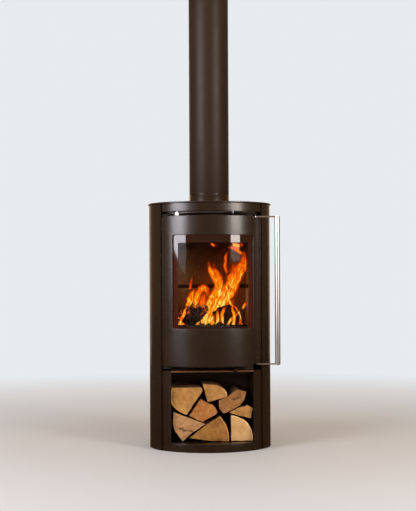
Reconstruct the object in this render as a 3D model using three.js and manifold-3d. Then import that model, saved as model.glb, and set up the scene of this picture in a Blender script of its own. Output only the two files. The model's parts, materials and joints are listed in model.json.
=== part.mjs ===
// A free-standing wood burning stove: an oval steel body with a curved glass door over a log store,
// and the first length of flue pipe on its top outlet.
// Millimetres, +Z up. The origin is on the floor at the middle of the oval body, the door faces -Y.
import * as THREE from 'three';
import { mergeGeometries, mergeVertices } from 'three/addons/utils/BufferGeometryUtils.js';
import Module from 'manifold-3d';

const wasm = await Module();
wasm.setup();

// ---- Driving dimensions ----------------------------------------------------------------------

const HALF_WIDTH = 235;        // oval body, half the width
const HALF_DEPTH = 185;        // oval body, half the depth before the back is cut flat
const BACK_Y = 165;            // outside of the flat back
const BODY_HEIGHT = 940;
const GAP = 0.3;               // between pieces that rest on each other
const SHEET = 3;               // casing steel
const DOOR_STEEL = 4;
const PLATE = 5;               // firebox steel
const PANEL_EDGE_X = 190;      // front edge of each side panel
const FRONT_EDGE_X = 187;      // ends of the door, the fascia and the plinth

const TOP_PLATE = 6;
const TOP_OVERHANG = 4;
const FASCIA_BOTTOM = 903;
const DOOR_TOP = 887;
const DOOR_BOTTOM = 319;

const STORE_FLOOR_TOP = 32;
const STORE_HALF_WIDTH = 156;
const STORE_BACK_Y = 115;
const STORE_ROOF_TOP = 303;
const STORE_ROOF = 6;
const STORE_LIP_Y = -138;      // straight front edge of the store roof

const BOX_FRONT_Y = -98;       // face that the door seals against
const BOX_FLOOR_Z = 350;
const BOX_ROOF_Z = 895;
const BED_Z = 425;             // plate under the grate and the floor bricks
const BRICK = 20;
const BRICK_SPLIT_Z = 613;     // air slot between the lower and upper bricks
const AIR_SLOT = 14;
const BRICK_TOP_Z = 800;

const FLUE_Y = 10;
const FLUE_RADIUS = 77;
const FLUE_WALL = 2;
const FLUE_LENGTH = 1000;
const COLLAR_TOP = 975;

const WINDOW = { x0: -149, x: 156, z0: 462, z1: 814, corner: 8 };   // a little towards the handle
const SIGHT = { x0: -128, x: 137, z0: 470, z1: 785, corner: 6 };
const NOTCH_X = 158;           // the handle's arms leave the door past this, top and bottom
const PAN_FLANGE = 7;          // the door's edge flanges sit this far inside its top and bottom edge
const LOW_NOTCH = 10.5;
const DOOR_BACK_Y = -104;

const HINGE = { x: -176, y: -113, pin: 3 };
const SHAFT = { x: 171, y: -113, r: 5 };
const BAR = { x: 250, y: -124, r: 10 };
const ARM = { half: 5.5, thick: 5 };

// Centre of the arc that the upper air slider runs on, just behind the middle of the stove.
const ARC_CENTRE_Y = 99.3;
const ARC_RADIUS = 284.3;

// ---- Finishes ----------------------------------------------------------------------------------

const finish = (color, roughness, metalness, extra = {}) => () =>
  new THREE.MeshStandardMaterial({ color, roughness, metalness, ...extra });

const paint = finish(0x352a25, 0.45, 0.3);
const darkSteel = finish(0x1c1816, 0.6, 0.4);
const bareSteel = finish(0xb9b6b0, 0.3, 1.0);
const brick = finish(0x9a7a55, 0.95, 0.0);
const castIron = finish(0x26221f, 0.8, 0.3);
const rope = finish(0x6f6a63, 0.95, 0.0);
const galvanised = finish(0x8d9092, 0.5, 0.8);
const ceramicGlass = finish(0x2a1d16, 0.05, 0.0, { transparent: true, opacity: 0.35 });

// ---- Shape helpers -----------------------------------------------------------------------------

const v = (x, y) => new THREE.Vector2(x, y);

/** A point of the oval, `inset` inside the outer skin. Angle 0 is the front, 90 degrees is +X. */
function ovalPoint(angle, inset = 0) {
  return v((HALF_WIDTH - inset) * Math.sin(angle), -(HALF_DEPTH - inset) * Math.cos(angle));
}

function angleAtX(x, inset = 0) {
  return Math.asin(x / (HALF_WIDTH - inset));
}

function angleAtBack(y, inset = 0) {
  return Math.acos(-y / (HALF_DEPTH - inset));
}

function ovalArc(from, to, inset, steps) {
  return Array.from({ length: steps + 1 }, (_, i) => ovalPoint(from + ((to - from) * i) / steps, inset));
}

/** An upright prism of a plan outline between two heights. */
function prism(outline, z0, z1, holes = []) {
  const shape = new THREE.Shape(outline);
  shape.holes = holes.map((points) => new THREE.Path(points));
  const geometry = new THREE.ExtrudeGeometry(shape, { depth: z1 - z0, bevelEnabled: false });
  return geometry.translate(0, 0, z0);
}

function box(x0, x1, y0, y1, z0, z1) {
  const geometry = new THREE.BoxGeometry(x1 - x0, y1 - y0, z1 - z0);
  return geometry.translate((x0 + x1) / 2, (y0 + y1) / 2, (z0 + z1) / 2);
}

/** An upright round bar. */
function rod(x, y, radius, z0, z1, sides = 32) {
  const geometry = new THREE.CylinderGeometry(radius, radius, z1 - z0, sides);
  return geometry.rotateX(Math.PI / 2).translate(x, y, (z0 + z1) / 2);
}

/** A ring or stepped sleeve turned about an upright axis through x, y. */
function turned(profile, x, y, sides = 48) {
  const geometry = new THREE.LatheGeometry([...profile, profile[0]].map(([r, z]) => v(r, z)), sides);
  return geometry.rotateX(Math.PI / 2).translate(x, y, 0);
}

/** A strip of the curved front between two x positions, between two insets. */
function frontStrip(x0, x1, outer, inner, z0, z1, steps = 32) {
  const outside = ovalArc(angleAtX(x0, outer), angleAtX(x1, outer), outer, steps);
  const inside = ovalArc(angleAtX(x1, inner), angleAtX(x0, inner), inner, steps);
  return prism([...outside, ...inside], z0, z1);
}

/** The oval plan with straight sides at `sideX` and a flat back, its rear arcs set in by `rearInset`. */
function clippedOval(inset, rearInset, sideX, backY, steps = 32) {
  const side = angleAtX(sideX, inset);
  const rear = Math.PI - angleAtX(sideX, rearInset);
  const back = angleAtBack(backY, rearInset);
  return [...ovalArc(-side, side, inset, steps), ...ovalArc(rear, back, rearInset, 6),
    ...ovalArc(-back, -rear, rearInset, 6)];
}

/** A window seen from the front: a rounded rectangle cut right through along Y. */
function windowCutter({ x, z0, z1, corner }, x0 = -x) {
  const steps = 5;
  const outline = [];
  const centres = [[x - corner, z1 - corner, 0], [x0 + corner, z1 - corner, 1],
    [x0 + corner, z0 + corner, 2], [x - corner, z0 + corner, 3]];
  for (const [cx, cz, quarter] of centres) {
    for (let i = 0; i <= steps; i++) {
      const a = ((quarter + i / steps) * Math.PI) / 2;
      outline.push(v(cx + corner * Math.cos(a), cz + corner * Math.sin(a)));
    }
  }
  const geometry = prism(outline, -300, 0);
  return geometry.rotateX(Math.PI / 2).translate(0, -300, 0);
}

function toSolid(geometry) {
  const bare = geometry.clone();
  bare.deleteAttribute('normal');
  bare.deleteAttribute('uv');
  const merged = mergeVertices(bare, 1e-4);
  const mesh = new wasm.Mesh({
    numProp: 3,
    vertProperties: new Float32Array(merged.attributes.position.array),
    triVerts: new Uint32Array(merged.index.array),
  });
  return new wasm.Manifold(mesh);
}

function toGeometry(solid) {
  const { vertProperties, triVerts } = solid.getMesh();
  const geometry = new THREE.BufferGeometry();
  geometry.setAttribute('position', new THREE.BufferAttribute(vertProperties, 3));
  geometry.setIndex(new THREE.BufferAttribute(triVerts, 1));
  geometry.computeVertexNormals();
  return geometry;
}

function join(...geometries) {
  return toGeometry(geometries.map(toSolid).reduce((sum, next) => sum.add(next)));
}

function cut(geometry, ...tools) {
  return toGeometry(tools.map(toSolid).reduce((rest, tool) => rest.subtract(tool), toSolid(geometry)));
}

// ---- The scene graph -----------------------------------------------------------------------------

const stove = new THREE.Group();
stove.name = 'wood_burning_stove';

function add(name, geometry, material) {
  const mesh = new THREE.Mesh(geometry, material());
  mesh.name = name;
  stove.add(mesh);
}

function addPair(name, build, material) {
  for (const [side, sign] of [['left', -1], ['right', 1]]) {
    add(`${name}_${side}`, build(sign), material);
  }
}

/** A plan outline mirrored to the left for sign -1, kept in the same winding. */
function sided(points, sign) {
  return sign > 0 ? points : points.map((p) => v(-p.x, p.y)).reverse();
}

// ---- Casing --------------------------------------------------------------------------------------

function sidePanel(sign) {
  const edge = PANEL_EDGE_X;
  const flangeEnd = -93;
  const backEnd = BACK_Y - 1.5;
  const outer = ovalArc(angleAtX(edge), angleAtBack(backEnd), 0, 28);
  const inner = ovalArc(angleAtBack(backEnd - 1.5, SHEET), angleAtX(edge + SHEET, SHEET), SHEET, 28);
  const flange = [v(edge + SHEET, flangeEnd), v(edge, flangeEnd)];
  return prism(sided([...outer, ...inner, ...flange], sign), 0, BODY_HEIGHT - TOP_PLATE - GAP);
}
addPair('side_panel', sidePanel, paint);

const AIR_INLET_Z = 240;
function backPanel() {
  const half = 103;
  const panel = box(-half, half, BACK_Y - SHEET, BACK_Y, 0, BODY_HEIGHT - TOP_PLATE - GAP);
  const tools = [];
  for (const row of [70, 90, 110, 855, 875, 895]) {
    for (const column of [-45, 45]) {
      tools.push(box(column - 36, column + 36, BACK_Y - 10, BACK_Y + 10, row, row + 8));
    }
  }
  const inlet = new THREE.CylinderGeometry(40.5, 40.5, 30, 32).translate(0, BACK_Y, AIR_INLET_Z);
  return cut(panel, ...tools, inlet);
}
add('back_panel', backPanel(), paint);

const topOutline = clippedOval(-TOP_OVERHANG, -TOP_OVERHANG, 238.9, BACK_Y + 2);
const flueHole = (radius) => {
  const circle = new THREE.Path().absarc(0, FLUE_Y, radius, 0, 2 * Math.PI, true);
  return circle.getPoints(24);
};
add('top_plate', prism(topOutline, BODY_HEIGHT - TOP_PLATE, BODY_HEIGHT, [flueHole(77.5)]), paint);

const fasciaTop = BODY_HEIGHT - TOP_PLATE - GAP;
add('fascia', frontStrip(-FRONT_EDGE_X, FRONT_EDGE_X, 0, SHEET, FASCIA_BOTTOM, fasciaTop), paint);

const PLINTH_TOP = STORE_FLOOR_TOP - PLATE - GAP;
add('front_plinth', frontStrip(-FRONT_EDGE_X, FRONT_EDGE_X, 0, SHEET, 0, PLINTH_TOP), paint);
const INSIDE = SHEET + 0.6;
const insideBackY = BACK_Y - SHEET - 1;
function basePlate() {
  const outline = clippedOval(INSIDE, INSIDE, HALF_WIDTH - INSIDE - 0.1, insideBackY);
  const edge = PANEL_EDGE_X - 0.4;
  const clearances = [-edge - SHEET - 1, edge].map((x) => box(x, x + SHEET + 1, -120, -92.4, -1, 5));
  return cut(prism(outline, 0, 4), ...clearances);
}
add('base_plate', basePlate(), darkSteel);

// ---- Log store ------------------------------------------------------------------------------------

const floorOutline = clippedOval(0, INSIDE, FRONT_EDGE_X, insideBackY);
add('store_floor', prism(floorOutline, STORE_FLOOR_TOP - PLATE, STORE_FLOOR_TOP), paint);

function storeCheek(sign) {
  const x = STORE_HALF_WIDTH;
  const outer = ovalArc(angleAtX(x), angleAtX(FRONT_EDGE_X), 0, 4);
  const inner = ovalArc(angleAtX(FRONT_EDGE_X, SHEET), angleAtX(x + SHEET, SHEET), SHEET, 4);
  const wall = [v(x + SHEET, STORE_BACK_Y), v(x, STORE_BACK_Y)];
  return prism(sided([...outer, ...inner, ...wall], sign), STORE_FLOOR_TOP + GAP, STORE_ROOF_TOP);
}
addPair('store_cheek', storeCheek, paint);

const storeInner = STORE_HALF_WIDTH + SHEET;
add('store_back', box(-storeInner, storeInner, STORE_BACK_Y + GAP, STORE_BACK_Y + SHEET,
  STORE_FLOOR_TOP + GAP, STORE_ROOF_TOP), darkSteel);

const roofHalf = STORE_HALF_WIDTH - GAP;
add('store_roof', box(-roofHalf, roofHalf, STORE_LIP_Y, STORE_BACK_Y,
  STORE_ROOF_TOP - STORE_ROOF, STORE_ROOF_TOP), paint);

// ---- Air supply under the firebox ---------------------------------------------------------------------

const AIR_BOX = {
  x: 160, y0: BOX_FRONT_Y + PLATE + GAP, y1: 112, z0: STORE_ROOF_TOP + GAP, z1: BOX_FLOOR_Z - GAP,
};
const AIR_PORTS = [-60, -20, 20, 60];
function airBox() {
  const { x, y0, y1, z0, z1 } = AIR_BOX;
  const hollow = box(-x + SHEET, x - SHEET, y0 + SHEET, y1 - SHEET, z0 + SHEET, z1 + 5);
  const ports = AIR_PORTS.map((c) => box(c - 11, c + 11, y0 - 5, y0 + 5, z0 + 5, z0 + 15));
  const rear = box(-60, 60, y1 - 5, y1 + 5, z0 + 8, z0 + 34);
  return cut(box(-x, x, y0, y1, z0, z1), hollow, ...ports, rear);
}
add('air_box', airBox(), darkSteel);

const PRIMARY_KNOB_X = 86;
function primarySlide() {
  const y1 = AIR_BOX.y0 - GAP;
  const z0 = STORE_ROOF_TOP + 1;
  const plate = box(-90, 112, y1 - SHEET, y1, z0 + 1, z0 + 20);
  const ports = AIR_PORTS.map((c) => box(c - 11, c + 11, y1 - 10, y1 + 5, z0 + 5, z0 + 14));
  const stem = box(PRIMARY_KNOB_X - 4, PRIMARY_KNOB_X + 4, -141, y1 - 1, z0 + 1, z0 + 5);
  return join(cut(plate, ...ports), stem);
}
add('primary_slide', primarySlide(), darkSteel);
add('primary_knob', box(PRIMARY_KNOB_X - 7, PRIMARY_KNOB_X + 7, -150, -141 - GAP, 298.5, 311), bareSteel);

function airSpigot() {
  const profile = [[37, 0], [50, 0], [50, 3], [40, 3], [40, 23], [37, 23]];
  const ring = new THREE.LatheGeometry([...profile, profile[0]].map(([r, y]) => v(r, y)), 40);
  return ring.translate(0, BACK_Y - SHEET - 3 - GAP, AIR_INLET_Z);
}
add('air_spigot', airSpigot(), galvanised);

// ---- Firebox ---------------------------------------------------------------------------------------

const WALL_FRONT_Y = BOX_FRONT_Y + PLATE + GAP;
const WALL_PLAN = [[172, WALL_FRONT_Y], [200, -50], [200, 40], [150, 125]];
const WALL_PLAN_INSIDE = [[145, 120], [195, 38.5], [195, -48.5], [167, WALL_FRONT_Y]];
const boxOutline = [...WALL_PLAN.map(([x, y]) => v(x, y)),
  ...WALL_PLAN.map(([x, y]) => v(-x, y)).reverse()];

function fireboxWall(sign) {
  const plan = [...WALL_PLAN, ...WALL_PLAN_INSIDE].map(([x, y]) => v(x, y));
  return prism(sided(plan, sign), BOX_FLOOR_Z + PLATE + GAP, BOX_ROOF_Z - GAP);
}
addPair('firebox_wall', fireboxWall, darkSteel);
add('firebox_wall_back', box(-144, 144, 120, 125, BOX_FLOOR_Z + PLATE + GAP, BOX_ROOF_Z - GAP), darkSteel);

function fireboxFloor() {
  const throat = box(-60, 60, 90, 112, BOX_FLOOR_Z - 5, BOX_FLOOR_Z + 10);
  return cut(prism(boxOutline, BOX_FLOOR_Z, BOX_FLOOR_Z + PLATE), throat);
}
add('firebox_floor', fireboxFloor(), darkSteel);
add('firebox_roof', prism(boxOutline, BOX_ROOF_Z, BOX_ROOF_Z + PLATE, [flueHole(71)]), darkSteel);

function fireboxFront() {
  const plate = box(-172, 162, BOX_FRONT_Y, BOX_FRONT_Y + PLATE, 326, BOX_ROOF_Z - GAP);
  const fire = windowCutter({ x: 146, z0: 455, z1: 800, corner: 8 }, -140);
  const ash = windowCutter({ x: 122, z0: 360, z1: 422, corner: 6 });
  return cut(plate, fire, ash);
}
add('firebox_front', fireboxFront(), darkSteel);

const heatShieldTop = BOX_ROOF_Z - 5;
function heatShield() {
  const sheet = box(-125, 125, 143, 144.5, BOX_FLOOR_Z + 10, heatShieldTop);
  const spacer = (x, z) => box(x, x + 10, 125 + GAP, 144, z, z + 10);
  const spacers = [-110, 100].flatMap((x) => [spacer(x, 420), spacer(x, 830)]);
  return join(sheet, ...spacers);
}
add('heat_shield', heatShield(), galvanised);

// ---- Lining, grate, baffles, ash pan --------------------------------------------------------------------

const brickFloorZ = BED_Z + PLATE + GAP;
const BRICK_IN_X = 145;
const BRICK_BACK_Y = 88;
const tiers = [['lower', brickFloorZ, BRICK_SPLIT_Z], ['upper', BRICK_SPLIT_Z + AIR_SLOT, BRICK_TOP_Z]];
for (const [tier, z0, z1] of tiers) {
  for (const [side, sign] of [['left', -1], ['right', 1]]) {
    const near = sign * BRICK_IN_X;
    const far = sign * (BRICK_IN_X + BRICK);
    const slab = box(Math.min(near, far), Math.max(near, far), -91, BRICK_BACK_Y - 3, z0, z1);
    add(`side_brick_${side}_${tier}`, slab, brick);
  }
  add(`back_brick_${tier}`, box(-146, 146, BRICK_BACK_Y, BRICK_BACK_Y + 26, z0, z1), brick);
}

/** A plate that fills the firebox from `frontY` to the back wall. */
function liningPlan(frontY) {
  const right = [v(BRICK_IN_X + BRICK, frontY), v(BRICK_IN_X + BRICK, 86), v(144.5, 118)];
  return [...right, ...right.map((p) => v(-p.x, p.y)).reverse()];
}

const GRATE = { x: 70, y0: -48, y1: 52, top: BED_Z + PLATE + 16 };
function grateBed() {
  const hole = box(-GRATE.x + 12, GRATE.x - 12, GRATE.y0 + 12, GRATE.y1 - 12, BED_Z - 5, BED_Z + 20);
  return cut(prism(liningPlan(-91), BED_Z, BED_Z + PLATE), hole);
}
add('grate_bed', grateBed(), darkSteel);

function grate() {
  const { x, y0, y1, top } = GRATE;
  const slots = [];
  for (let c = -55; c <= 55; c += 22) {
    slots.push(box(c - 5, c + 5, y0 + 12, y1 - 12, brickFloorZ - 5, top + 5));
  }
  return cut(box(-x + 0.5, x - 0.5, y0 + 0.5, y1 - 0.5, brickFloorZ, top), ...slots);
}
add('grate', grate(), castIron);

const floorBrickTop = brickFloorZ + BRICK - GAP;
addPair('floor_brick', (sign) => {
  const near = sign * (GRATE.x + 1);
  const far = sign * (BRICK_IN_X - 1);
  return box(Math.min(near, far), Math.max(near, far), -82, 86, brickFloorZ, floorBrickTop);
}, brick);
add('floor_brick_rear', box(-GRATE.x, GRATE.x, GRATE.y1 + 1, 86, brickFloorZ, floorBrickTop), brick);
add('floor_brick_front', box(-GRATE.x, GRATE.x, -82, GRATE.y0 - 1, brickFloorZ, floorBrickTop), brick);
add('log_guard', box(-138, 138, -89, -85, brickFloorZ, 474), castIron);

add('baffle_lower', prism(liningPlan(-52), BRICK_TOP_Z + GAP, BRICK_TOP_Z + BRICK), brick);
function upperBaffle() {
  const plate = box(-150, 150, -90, 70, 848, 851);
  const legs = [-140, 137].map((x) => box(x, x + 3, -45, 60, BRICK_TOP_Z + BRICK + GAP, 849));
  return join(plate, ...legs);
}
add('baffle_upper', upperBaffle(), castIron);

const PAN = { x: 116, y0: -90, y1: 84, z0: BOX_FLOOR_Z + PLATE + GAP, z1: 410 };
function ashPan() {
  const { x, y0, y1, z0, z1 } = PAN;
  const hollow = box(-x + 2, x - 2, y0 + 2, y1 - 2, z0 + 2, z1 + 5);
  const lip = box(-40, 40, y0 + 0.5, y0 + 9, z1 - 2, z1);
  return join(cut(box(-x, x, y0, y1, z0, z1), hollow), lip);
}
add('ash_pan', ashPan(), galvanised);

// ---- Flue ------------------------------------------------------------------------------------------

const collarFoot = BOX_ROOF_Z + PLATE + GAP;
add('flue_collar', turned([[70.5, collarFoot], [95, collarFoot], [95, collarFoot + 4],
  [76.2, collarFoot + 4], [76.2, COLLAR_TOP], [74.6, COLLAR_TOP], [74.6, COLLAR_TOP + 40],
  [70.5, COLLAR_TOP + 40]], 0, FLUE_Y), paint);

const pipeFoot = COLLAR_TOP + GAP;
const PIPE_INSIDE = FLUE_RADIUS - FLUE_WALL;
add('flue_pipe', turned([[PIPE_INSIDE, pipeFoot], [FLUE_RADIUS, pipeFoot],
  [FLUE_RADIUS, pipeFoot + FLUE_LENGTH], [PIPE_INSIDE, pipeFoot + FLUE_LENGTH]], 0, FLUE_Y), paint);

// ---- Door ------------------------------------------------------------------------------------------

const flangeTopZ = DOOR_TOP - PAN_FLANGE;
const flangeBottomZ = DOOR_BOTTOM + LOW_NOTCH;
function doorFlange(z0) {
  const half = FRONT_EDGE_X - DOOR_STEEL + 1;
  const inset = DOOR_STEEL - 1;
  const arc = ovalArc(angleAtX(-half, inset), angleAtX(half, inset), inset, 32);
  return prism([...arc, v(half, DOOR_BACK_Y), v(-half, DOOR_BACK_Y)], z0, z0 + DOOR_STEEL);
}

function doorSkin() {
  const edge = FRONT_EDGE_X;
  const skin = frontStrip(-edge, edge, 0, DOOR_STEEL, DOOR_BOTTOM, DOOR_TOP);
  const sides = [-edge, edge - DOOR_STEEL].map(
    (x) => box(x, x + DOOR_STEEL, -113.5, DOOR_BACK_Y, flangeBottomZ, flangeTopZ));
  const armNotches = [box(NOTCH_X, edge + 5, -150, -100, flangeTopZ, DOOR_TOP + 5),
    box(NOTCH_X, edge + 5, -150, -100, DOOR_BOTTOM - 5, flangeBottomZ)];
  const through = [rod(SHAFT.x, SHAFT.y, SHAFT.r + 0.5, 300, 900),
    rod(HINGE.x, HINGE.y, HINGE.pin + 0.4, 300, flangeBottomZ + DOOR_STEEL + 0.5),
    rod(HINGE.x, HINGE.y, HINGE.pin + 0.4, flangeTopZ - DOOR_STEEL - 0.5, 900)];
  const shell = join(skin, ...sides, doorFlange(flangeTopZ - DOOR_STEEL), doorFlange(flangeBottomZ));
  return cut(shell, windowCutter(WINDOW, WINDOW.x0), ...armNotches, ...through);
}
add('door_skin', doorSkin(), paint);

const GASKET = { x0: WINDOW.x0 - 10, x1: WINDOW.x + 8, inset0: DOOR_STEEL + GAP, inset1: 6.7 };
const GLASS = { z0: WINDOW.z0 - 10, z1: WINDOW.z1 + 10, inset0: 7, inset1: 11 };
function glassGasket() {
  const { x0, x1, inset0, inset1 } = GASKET;
  const pad = frontStrip(x0, x1, inset0, inset1, GLASS.z0, GLASS.z1);
  return cut(pad, windowCutter({ ...WINDOW, corner: 3 }, WINDOW.x0));
}
add('glass_gasket', glassGasket(), rope);
function doorGlass() {
  return frontStrip(GASKET.x0, GASKET.x1, GLASS.inset0, GLASS.inset1, GLASS.z0, GLASS.z1);
}
add('door_glass', doorGlass(), ceramicGlass);

function glassFrame() {
  const frame = frontStrip(GASKET.x0 - 4, GASKET.x1, 11.3, 14.3, GLASS.z0 - 7, GLASS.z1 + 6);
  return cut(frame, windowCutter(SIGHT, SIGHT.x0));
}
add('glass_frame', glassFrame(), darkSteel);
addPair('glass_clip', (sign) => {
  const [x0, x1] = sign < 0 ? [SIGHT.x0 - 15, SIGHT.x0 - 2] : [SIGHT.x + 2, SIGHT.x + 15];
  return frontStrip(x0, x1, 14.6, 17.6, 598, 664, 4);
}, darkSteel);

function doorBackFrame() {
  const plate = box(-178, 162, DOOR_BACK_Y - SHEET - GAP, DOOR_BACK_Y - GAP,
    flangeBottomZ + DOOR_STEEL + GAP, flangeTopZ - DOOR_STEEL - GAP);
  return cut(plate, windowCutter({ x: 149, z0: 440, z1: 835, corner: 8 }, -146));
}
add('door_back_frame', doorBackFrame(), darkSteel);

function doorSeal() {
  const ring = box(-161, 161, DOOR_BACK_Y, BOX_FRONT_Y - GAP, 342, 868);
  return cut(ring, windowCutter({ x: 149, z0: 354, z1: 856, corner: 10 }));
}
add('door_seal', doorSeal(), rope);

function hingeBracket(z0, z1, pin0, pin1, backY) {
  const arm = box(-184, -150, HINGE.y - 7, backY, z0, z1);
  return join(arm, rod(HINGE.x, HINGE.y, HINGE.pin, pin0, pin1, 20));
}
const upperPinFoot = flangeTopZ - DOOR_STEEL + 0.2;
const lowerPinTop = flangeBottomZ + DOOR_STEEL - 0.2;
add('hinge_upper', hingeBracket(889, 893, upperPinFoot, 891, BOX_FRONT_Y - GAP), darkSteel);
add('hinge_lower', hingeBracket(311, 315, 313, lowerPinTop, AIR_BOX.y0 - GAP), darkSteel);

// ---- Handle ----------------------------------------------------------------------------------------

const topArmZ = DOOR_TOP - ARM.thick;
const lowArmZ = 322.5;
function handleArm(z0) {
  const z1 = z0 + ARM.thick;
  const length = Math.hypot(BAR.x - SHAFT.x, BAR.y - SHAFT.y);
  const link = new THREE.BoxGeometry(length, 2 * ARM.half, ARM.thick);
  link.rotateZ(Math.atan2(BAR.y - SHAFT.y, BAR.x - SHAFT.x));
  link.translate((BAR.x + SHAFT.x) / 2, (BAR.y + SHAFT.y) / 2, (z0 + z1) / 2);
  return join(link, rod(SHAFT.x, SHAFT.y, ARM.half, z0, z1), rod(BAR.x, BAR.y, BAR.r - 0.5, z0, z1));
}
add('handle_arm_upper', handleArm(topArmZ), bareSteel);
add('handle_arm_lower', handleArm(lowArmZ), bareSteel);
const shaftFoot = lowArmZ + ARM.thick + GAP;
add('handle_bar', rod(BAR.x, BAR.y, BAR.r, shaftFoot, topArmZ - GAP), bareSteel);
add('handle_shaft', rod(SHAFT.x, SHAFT.y, SHAFT.r, shaftFoot, topArmZ - GAP, 24), bareSteel);

/** A hook welded to the back of the shaft, beside the edge of the firebox front. */
function latchHook(z0) {
  const nose = box(SHAFT.x - 4.5, SHAFT.x + 4.5, SHAFT.y, SHAFT.y + 19, z0, z0 + 8);
  return cut(nose, rod(SHAFT.x, SHAFT.y, SHAFT.r + GAP, z0 - 5, z0 + 15, 24));
}
add('latch_hook_upper', latchHook(800), bareSteel);
add('latch_hook_lower', latchHook(392), bareSteel);

// ---- Upper air control --------------------------------------------------------------------------------

/** A flat plate on the slider's arc, between two radii and two angles from the front. */
function arcPlate(r0, r1, a0, a1, z0, z1, steps = 16) {
  const point = (r, a) => v(r * Math.sin(a), ARC_CENTRE_Y - r * Math.cos(a));
  const at = (i) => THREE.MathUtils.degToRad(a0 + ((a1 - a0) * i) / steps);
  const outer = Array.from({ length: steps + 1 }, (_, i) => point(r1, at(i)));
  const inner = Array.from({ length: steps + 1 }, (_, i) => point(r0, at(steps - i)));
  return prism([...outer, ...inner], z0, z1);
}
function airGuide() {
  const plate = arcPlate(256, ARC_RADIUS - 4, -36, 36, 898.3, 901.3);
  const lugs = [[-125, -95], [95, 125]].map(([x0, x1]) => frontStrip(x0, x1, SHEET + GAP, 8, 901, 925, 4));
  return join(plate, ...lugs);
}
add('air_guide', airGuide(), darkSteel);
add('air_slider', arcPlate(258, ARC_RADIUS - 4, -33, 8, 895, 898), paint);

function airTab() {
  const tilt = -Math.asin(132 / ARC_RADIUS);
  const wedge = new THREE.Shape([v(-9, 888.3), v(9, 888.3), v(2.5, 901), v(-2.5, 901)]);
  const geometry = new THREE.ExtrudeGeometry(wedge, { depth: 3, bevelEnabled: false });
  geometry.rotateX(Math.PI / 2).translate(0, -ARC_RADIUS + 3.5, 0);
  return geometry.rotateZ(tilt).translate(0, ARC_CENTRE_Y, 0);
}
add('air_tab', airTab(), bareSteel);

export default stove;
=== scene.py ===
"""An oval wood burning stove with a curved glass door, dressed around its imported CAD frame.

Every length is in metres, with +Z up, the door facing -Y and the handle at +X.
"""

import json
import logging
import math
import random
from collections.abc import Iterable, Sequence
from dataclasses import dataclass
from enum import Enum
from functools import cache

import bmesh
import bpy
from mathutils import Matrix, Quaternion, Vector, noise


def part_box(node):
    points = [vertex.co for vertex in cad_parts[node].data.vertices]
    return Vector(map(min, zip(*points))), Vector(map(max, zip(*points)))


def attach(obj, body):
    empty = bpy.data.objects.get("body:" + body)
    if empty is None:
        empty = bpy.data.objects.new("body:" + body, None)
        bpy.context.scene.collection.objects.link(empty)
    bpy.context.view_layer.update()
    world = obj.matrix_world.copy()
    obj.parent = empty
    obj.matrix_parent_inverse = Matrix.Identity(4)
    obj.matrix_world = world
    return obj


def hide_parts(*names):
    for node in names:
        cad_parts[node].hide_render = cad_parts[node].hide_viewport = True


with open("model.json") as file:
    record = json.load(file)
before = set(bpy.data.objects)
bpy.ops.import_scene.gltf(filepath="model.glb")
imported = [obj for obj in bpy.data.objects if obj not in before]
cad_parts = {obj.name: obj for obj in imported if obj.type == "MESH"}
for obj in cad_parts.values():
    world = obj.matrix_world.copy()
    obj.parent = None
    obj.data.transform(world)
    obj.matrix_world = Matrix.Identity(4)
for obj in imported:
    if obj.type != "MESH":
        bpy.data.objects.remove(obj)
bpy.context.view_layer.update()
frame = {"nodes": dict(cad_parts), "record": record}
SLOT_OF_NODE = {part["node"]: part["material_slot"] for part in frame["record"]["subparts"]}
LOG = logging.getLogger("stove")
Colour = tuple[float, float, float]
Socket = bpy.types.NodeSocket
SHARP_EDGE = math.radians(38)


class Body(Enum):
    """The CAD bodies that pieces ride on."""

    CASING = "root"
    DOOR = "door"
    HANDLE = "handle"
    UPPER_AIR = "upper_air"
    LOWER_AIR = "lower_air"


class Slot(Enum):
    """The record's material slots."""

    PAINT = "satin_paint"
    STEEL = "black_steel"
    STAINLESS = "stainless"
    BRICK = "firebrick"
    IRON = "cast_iron"
    ROPE = "seal_rope"
    ZINC = "galvanised"
    GLASS = "stove_glass"
    WOOD = "firewood"
    CHAR = "charred_wood"
    FLAME = "flame"


# ---- Shader building -----------------------------------------------------------------------------


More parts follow.
